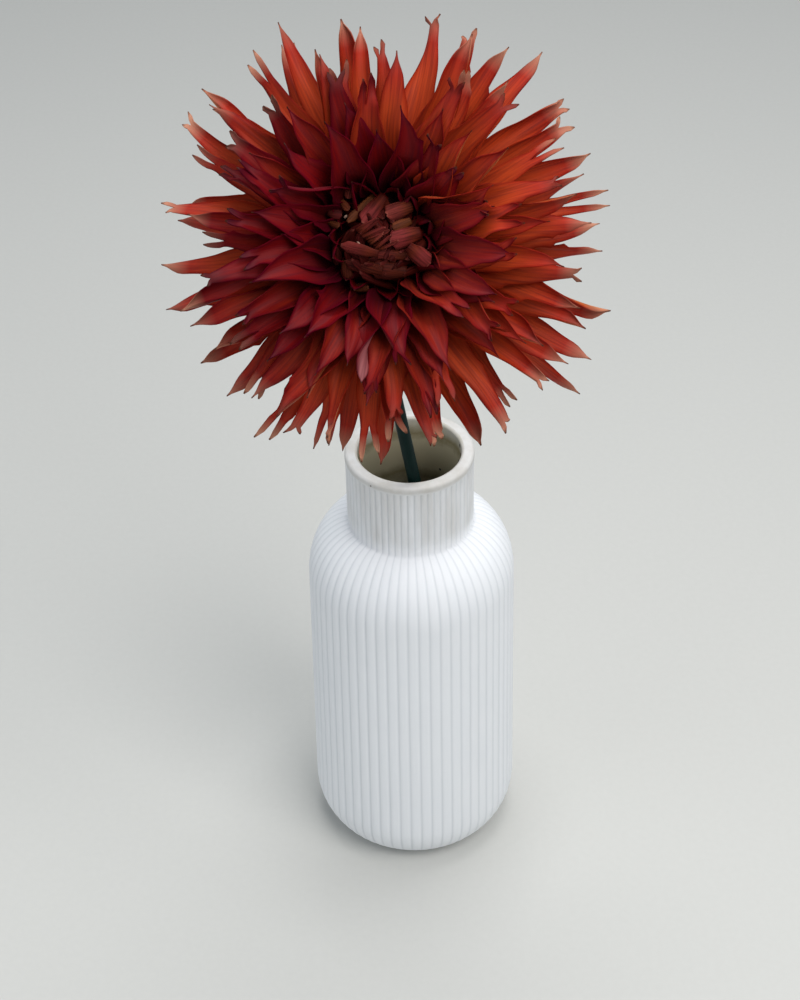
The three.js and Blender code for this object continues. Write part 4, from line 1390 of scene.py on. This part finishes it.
def bud_tissue(props):
    """Unopened florets show their backs: dull mauve-brown, greener where young, paler at the tips; most are
    drawn a dark dull red, partly as painted shade.
    """
    material, tree, shader = new_material("unopened_floret")
    grain = add(tree, "Attribute", attribute_name="grain").outputs["Vector"]
    reach, edge, tone, olive = (
        add(tree, "Attribute", attribute_name=name).outputs["Fac"]
        for name in ("reach", "edge", "tone", "olive"))
    # veins 0.55 mm apart, 8 mm long
    vein_place = add(tree, "VectorMath", {1: (1.8, 0.12, 1)}, {0: grain}, operation="MULTIPLY")
    veins = add(tree, "TexNoise", {"Scale": 1, "Detail": 2}, {"Vector": vein_place})
    body = add(tree, "ValToRGB", links={"Fac": reach}, stops=[
        (0, props.red), (0.25, props.russet), (0.55, props.mauve), (0.94, props.mauve), (1, props.pale)])
    greened = add(tree, "Mix", {MIX_B: props.olive}, {MIX_FACTOR: olive, MIX_A: body},
                  data_type="RGBA")
    # painted shade: a high tone draws a floret dark dull red, as most of the swirl lies in shade
    red = add(tree, "MapRange", {"From Min": 0.2, "From Max": 0.9, "To Max": 0.92}, {"Value": tone})
    mixed = add(tree, "Mix", {MIX_B: props.red},
                {MIX_FACTOR: red, MIX_A: greened}, data_type="RGBA")
    vein_shade = add(tree, "MapRange", {"From Min": 0.4, "From Max": 0.65, "To Max": 0.6},
                     {"Value": veins})
    veined = add(tree, "Mix", {MIX_B: props.shade},
                 {MIX_FACTOR: vein_shade, MIX_A: mixed}, data_type="RGBA")
    # the redder a floret is, the less its margin pales
    rim = add(tree, "MapRange", {"From Min": 0.85, "From Max": 1, "To Max": 0.5}, {"Value": edge})
    palest = add(tree, "MapRange", {"From Min": 0.2, "From Max": 0.8, "To Min": 1, "To Max": 0.1},
                 {"Value": tone})
    rim_share = add(tree, "Math", links={0: rim, 1: palest},
                    operation="MULTIPLY")
    paled = add(tree, "Mix", {MIX_B: props.pale},
                {MIX_FACTOR: rim_share, MIX_A: veined}, data_type="RGBA")
    # a tone below 0 is a floret that has dried to a pale husk
    husk_share = add(tree, "MapRange", {"From Min": -1, "From Max": 0, "To Min": 0.9, "To Max": 0},
                     {"Value": tone})
    final = add(tree, "Mix", {MIX_B: props.husk},
                {MIX_FACTOR: husk_share, MIX_A: paled}, data_type="RGBA")
    link(tree, final, shader.inputs["Base Color"])
    bump = add(tree, "Bump", {"Strength": 0.4, "Distance": 0.0002}, {"Height": veins})
    link(tree, bump, shader.inputs["Normal"])
    shader.inputs["Roughness"].default_value = 0.6
    shader.inputs["IOR"].default_value = 1.42
    shader.inputs["Specular IOR Level"].default_value = 0.08
    return material


class CentreProps(bpy.types.PropertyGroup):
    """Colours of the unopened florets"""
    mauve: colour_prop("Mauve", "The backs of the folded florets", "#722726")
    russet: colour_prop("Russet", "The lower part of their backs", "#5E2013")
    red: colour_prop("Dull red", "Florets about to open, and painted shade on most of them", "#360503")
    olive: colour_prop("Olive", "The youngest florets", "#5E341A")
    pale: colour_prop("Pale tip", "Their tips and margins", "#9A4E44")
    husk: colour_prop("Husk", "A few that have dried", "#A08272")
    shade: colour_prop("Shade", "Between them", "#140102")
    heart_shade_dark: colour_prop("Dark heart shade", "Painted shade on the heart of the swirl, between the florets", "#120203")
    heart_shade_red: colour_prop("Red heart shade", "The mottle on the heart's painted shade", "#280607")


class DAHLIA_OT_centre_florets(bpy.types.Operator):
    """Build the swirl of unopened florets"""
    bl_idname = "dahlia.centre_florets"
    bl_label = "Centre florets"

    def execute(self, context):
        props = context.scene.dahlia_centre
        rand = seeded_draws(CENTRE_SEED)
        draw = seeded_draws(CENTRE_FINISH_SEED)
        straps = Leaves(2 * CENTRE_COUNT + len(STANDING_FLORETS) + EYE_FLORETS, 1.6)
        lay_swirl(straps, rand, draw)
        stand_florets(straps, draw)
        fan_eye(straps, draw)
        made = [straps.piece("centre_florets", bud_tissue(props), in_head), centre_heart(props)]
        for piece in made:
            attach(piece, "root")
            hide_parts("centre_florets")
        return {"FINISHED"}


# ---------- studio ----------

class StudioProps(bpy.types.PropertyGroup):
    """The camera, the lights and the floor"""
    floor_colour: colour_prop("Floor", "The pale floor", "#CFCFCB")
    fibre_colour: colour_prop("Fibre", "The darker fibres of the floor's paper", "#CBCBC7")
    key_power: power_prop("Key light", "Power of the key light", 17.5)
    top_power: power_prop("Top light", "Power of the light overhead", 14.5)
    fill_power: power_prop("Fill light", "Power of the fill light", 3)
    sky_strength: FloatProperty(name="Sky", description="Strength of the even light", default=0.37, min=0)
    lens: FloatProperty(
        name="Lens", description="Focal length for a 36 mm sensor", default=74.88, min=1, unit="CAMERA")
    pitch: angle_prop("Pitch", "How far the camera looks down", 39.1)
    roll: angle_prop("Roll", "How far the camera leans", -1.23)


CAMERA_PLACE = Vector((-4.684, -737.849, 796.153)) * MM
SENSOR_WIDTH = 36
# the paper that the vase stands on, just below it
PAPER_RADIUS, PAPER_BOTTOM, PAPER_TOP, PAPER_SIDES = 6000, -0.8, -0.3, 96
# in metres, the middle of the whole
LIGHT_TARGET = (0, -0.03, 0.3)


def add_light(name, place, size, power, colour):
    """A square soft light, turned to the flower and its vase."""
    data = bpy.data.lights.new(name, "AREA")
    data.shape = "SQUARE"
    data.size = size
    data.energy = power
    data.color = colour
    light = bpy.data.objects.new(name, data)
    light.location = place
    light.rotation_euler = (Vector(LIGHT_TARGET) - Vector(place)).to_track_quat("-Z", "Y").to_euler()
    bpy.context.scene.collection.objects.link(light)


def studio_floor(props):
    """Pale matt paper, which gives the eye a quiet ground and soft shadows."""
    profile = [[0, PAPER_BOTTOM], [PAPER_RADIUS, PAPER_BOTTOM], [PAPER_RADIUS, PAPER_TOP], [0, PAPER_TOP]]
    points, faces = turned(profile, PAPER_SIDES)
    paper, tree, shader = new_material("studio_paper")
    place = add(tree, "NewGeometry").outputs["Position"]
    # fibres 3.3 mm across
    fibre = add(tree, "TexNoise", {"Scale": 300, "Detail": 3}, {"Vector": place})
    tint = add(tree, "Mix", {MIX_A: props.floor_colour, MIX_B: props.fibre_colour},
               {MIX_FACTOR: fibre}, data_type="RGBA")
    link(tree, tint, shader.inputs["Base Color"])
    shader.inputs["Roughness"].default_value = 0.9
    shader.inputs["Specular IOR Level"].default_value = 0.1
    return new_piece("studio_floor", points, faces, paper)


def add_camera(scene, props):
    data = bpy.data.cameras.new("camera")
    data.lens = props.lens
    data.sensor_width = SENSOR_WIDTH
    camera = bpy.data.objects.new("camera", data)
    tip = Matrix.Rotation(math.pi / 2 - props.pitch, 4, "X")
    camera.matrix_world = Matrix.Translation(CAMERA_PLACE) @ tip @ Matrix.Rotation(props.roll, 4, "Z")
    scene.collection.objects.link(camera)
    scene.camera = camera


class DAHLIA_OT_studio(bpy.types.Operator):
    """Set up the pale floor, the soft light and the camera"""
    bl_idname = "dahlia.studio"
    bl_label = "Studio"

    def execute(self, context):
        props = context.scene.dahlia_studio
        scene = context.scene
        floor = studio_floor(props)
        add_camera(scene, props)
        add_light("key_light", (0.62, -0.85, 1.6), 1.0, props.key_power, (1, 0.98, 0.96))
        add_light("top_light", (0.1, 0.15, 1.8), 0.8, props.top_power, (1, 1, 1))
        add_light("fill_light", (-1.2, -0.6, 0.9), 1.2, props.fill_power, (0.92, 0.96, 1))
        world = bpy.data.worlds.new("even_light")
        world.use_nodes = True
        sky = world.node_tree.nodes["Background"]
        sky.inputs["Color"].default_value = (0.86, 0.93, 1.0, 1)
        sky.inputs["Strength"].default_value = props.sky_strength
        scene.world = world
        scene.view_settings.view_transform = "Standard"
        return {"FINISHED"}


# ---------- the add-on ----------

class DAHLIA_PT_panel(bpy.types.Panel):
    """The dahlia's pieces"""
    bl_label = "Dahlia"
    bl_idname = "DAHLIA_PT_panel"
    bl_space_type = "VIEW_3D"
    bl_region_type = "UI"
    bl_category = "Dahlia"

    def draw(self, context):
        for operator in OPERATORS:
            self.layout.operator(operator.bl_idname)
        for name in PROPERTIES:
            settings = getattr(context.scene, name)
            box = self.layout.box()
            for key in settings.__annotations__:
                box.prop(settings, key)


OPERATORS = (
    DAHLIA_OT_studio, DAHLIA_OT_vase, DAHLIA_OT_water, DAHLIA_OT_stem, DAHLIA_OT_ray_florets,
    DAHLIA_OT_centre_florets)
PROPERTIES = {
    "dahlia_vase": VaseProps, "dahlia_water": WaterProps, "dahlia_stem": StemProps, "dahlia_rays": RayProps,
    "dahlia_centre": CentreProps, "dahlia_studio": StudioProps,
}


def register():
    for group in PROPERTIES.values():
        bpy.utils.register_class(group)
    for name, group in PROPERTIES.items():
        setattr(bpy.types.Scene, name, PointerProperty(type=group))
    for item in (*OPERATORS, DAHLIA_PT_panel):
        bpy.utils.register_class(item)


def unregister():
    for item in reversed((*OPERATORS, DAHLIA_PT_panel)):
        bpy.utils.unregister_class(item)
    for name in PROPERTIES:
        delattr(bpy.types.Scene, name)
    for group in reversed(PROPERTIES.values()):
        bpy.utils.unregister_class(group)


def main():
    register()
    for operator in OPERATORS:
        name = operator.bl_idname.split(".")[1]
        getattr(bpy.ops.dahlia, name)()


if __name__ == "__main__":
    main()
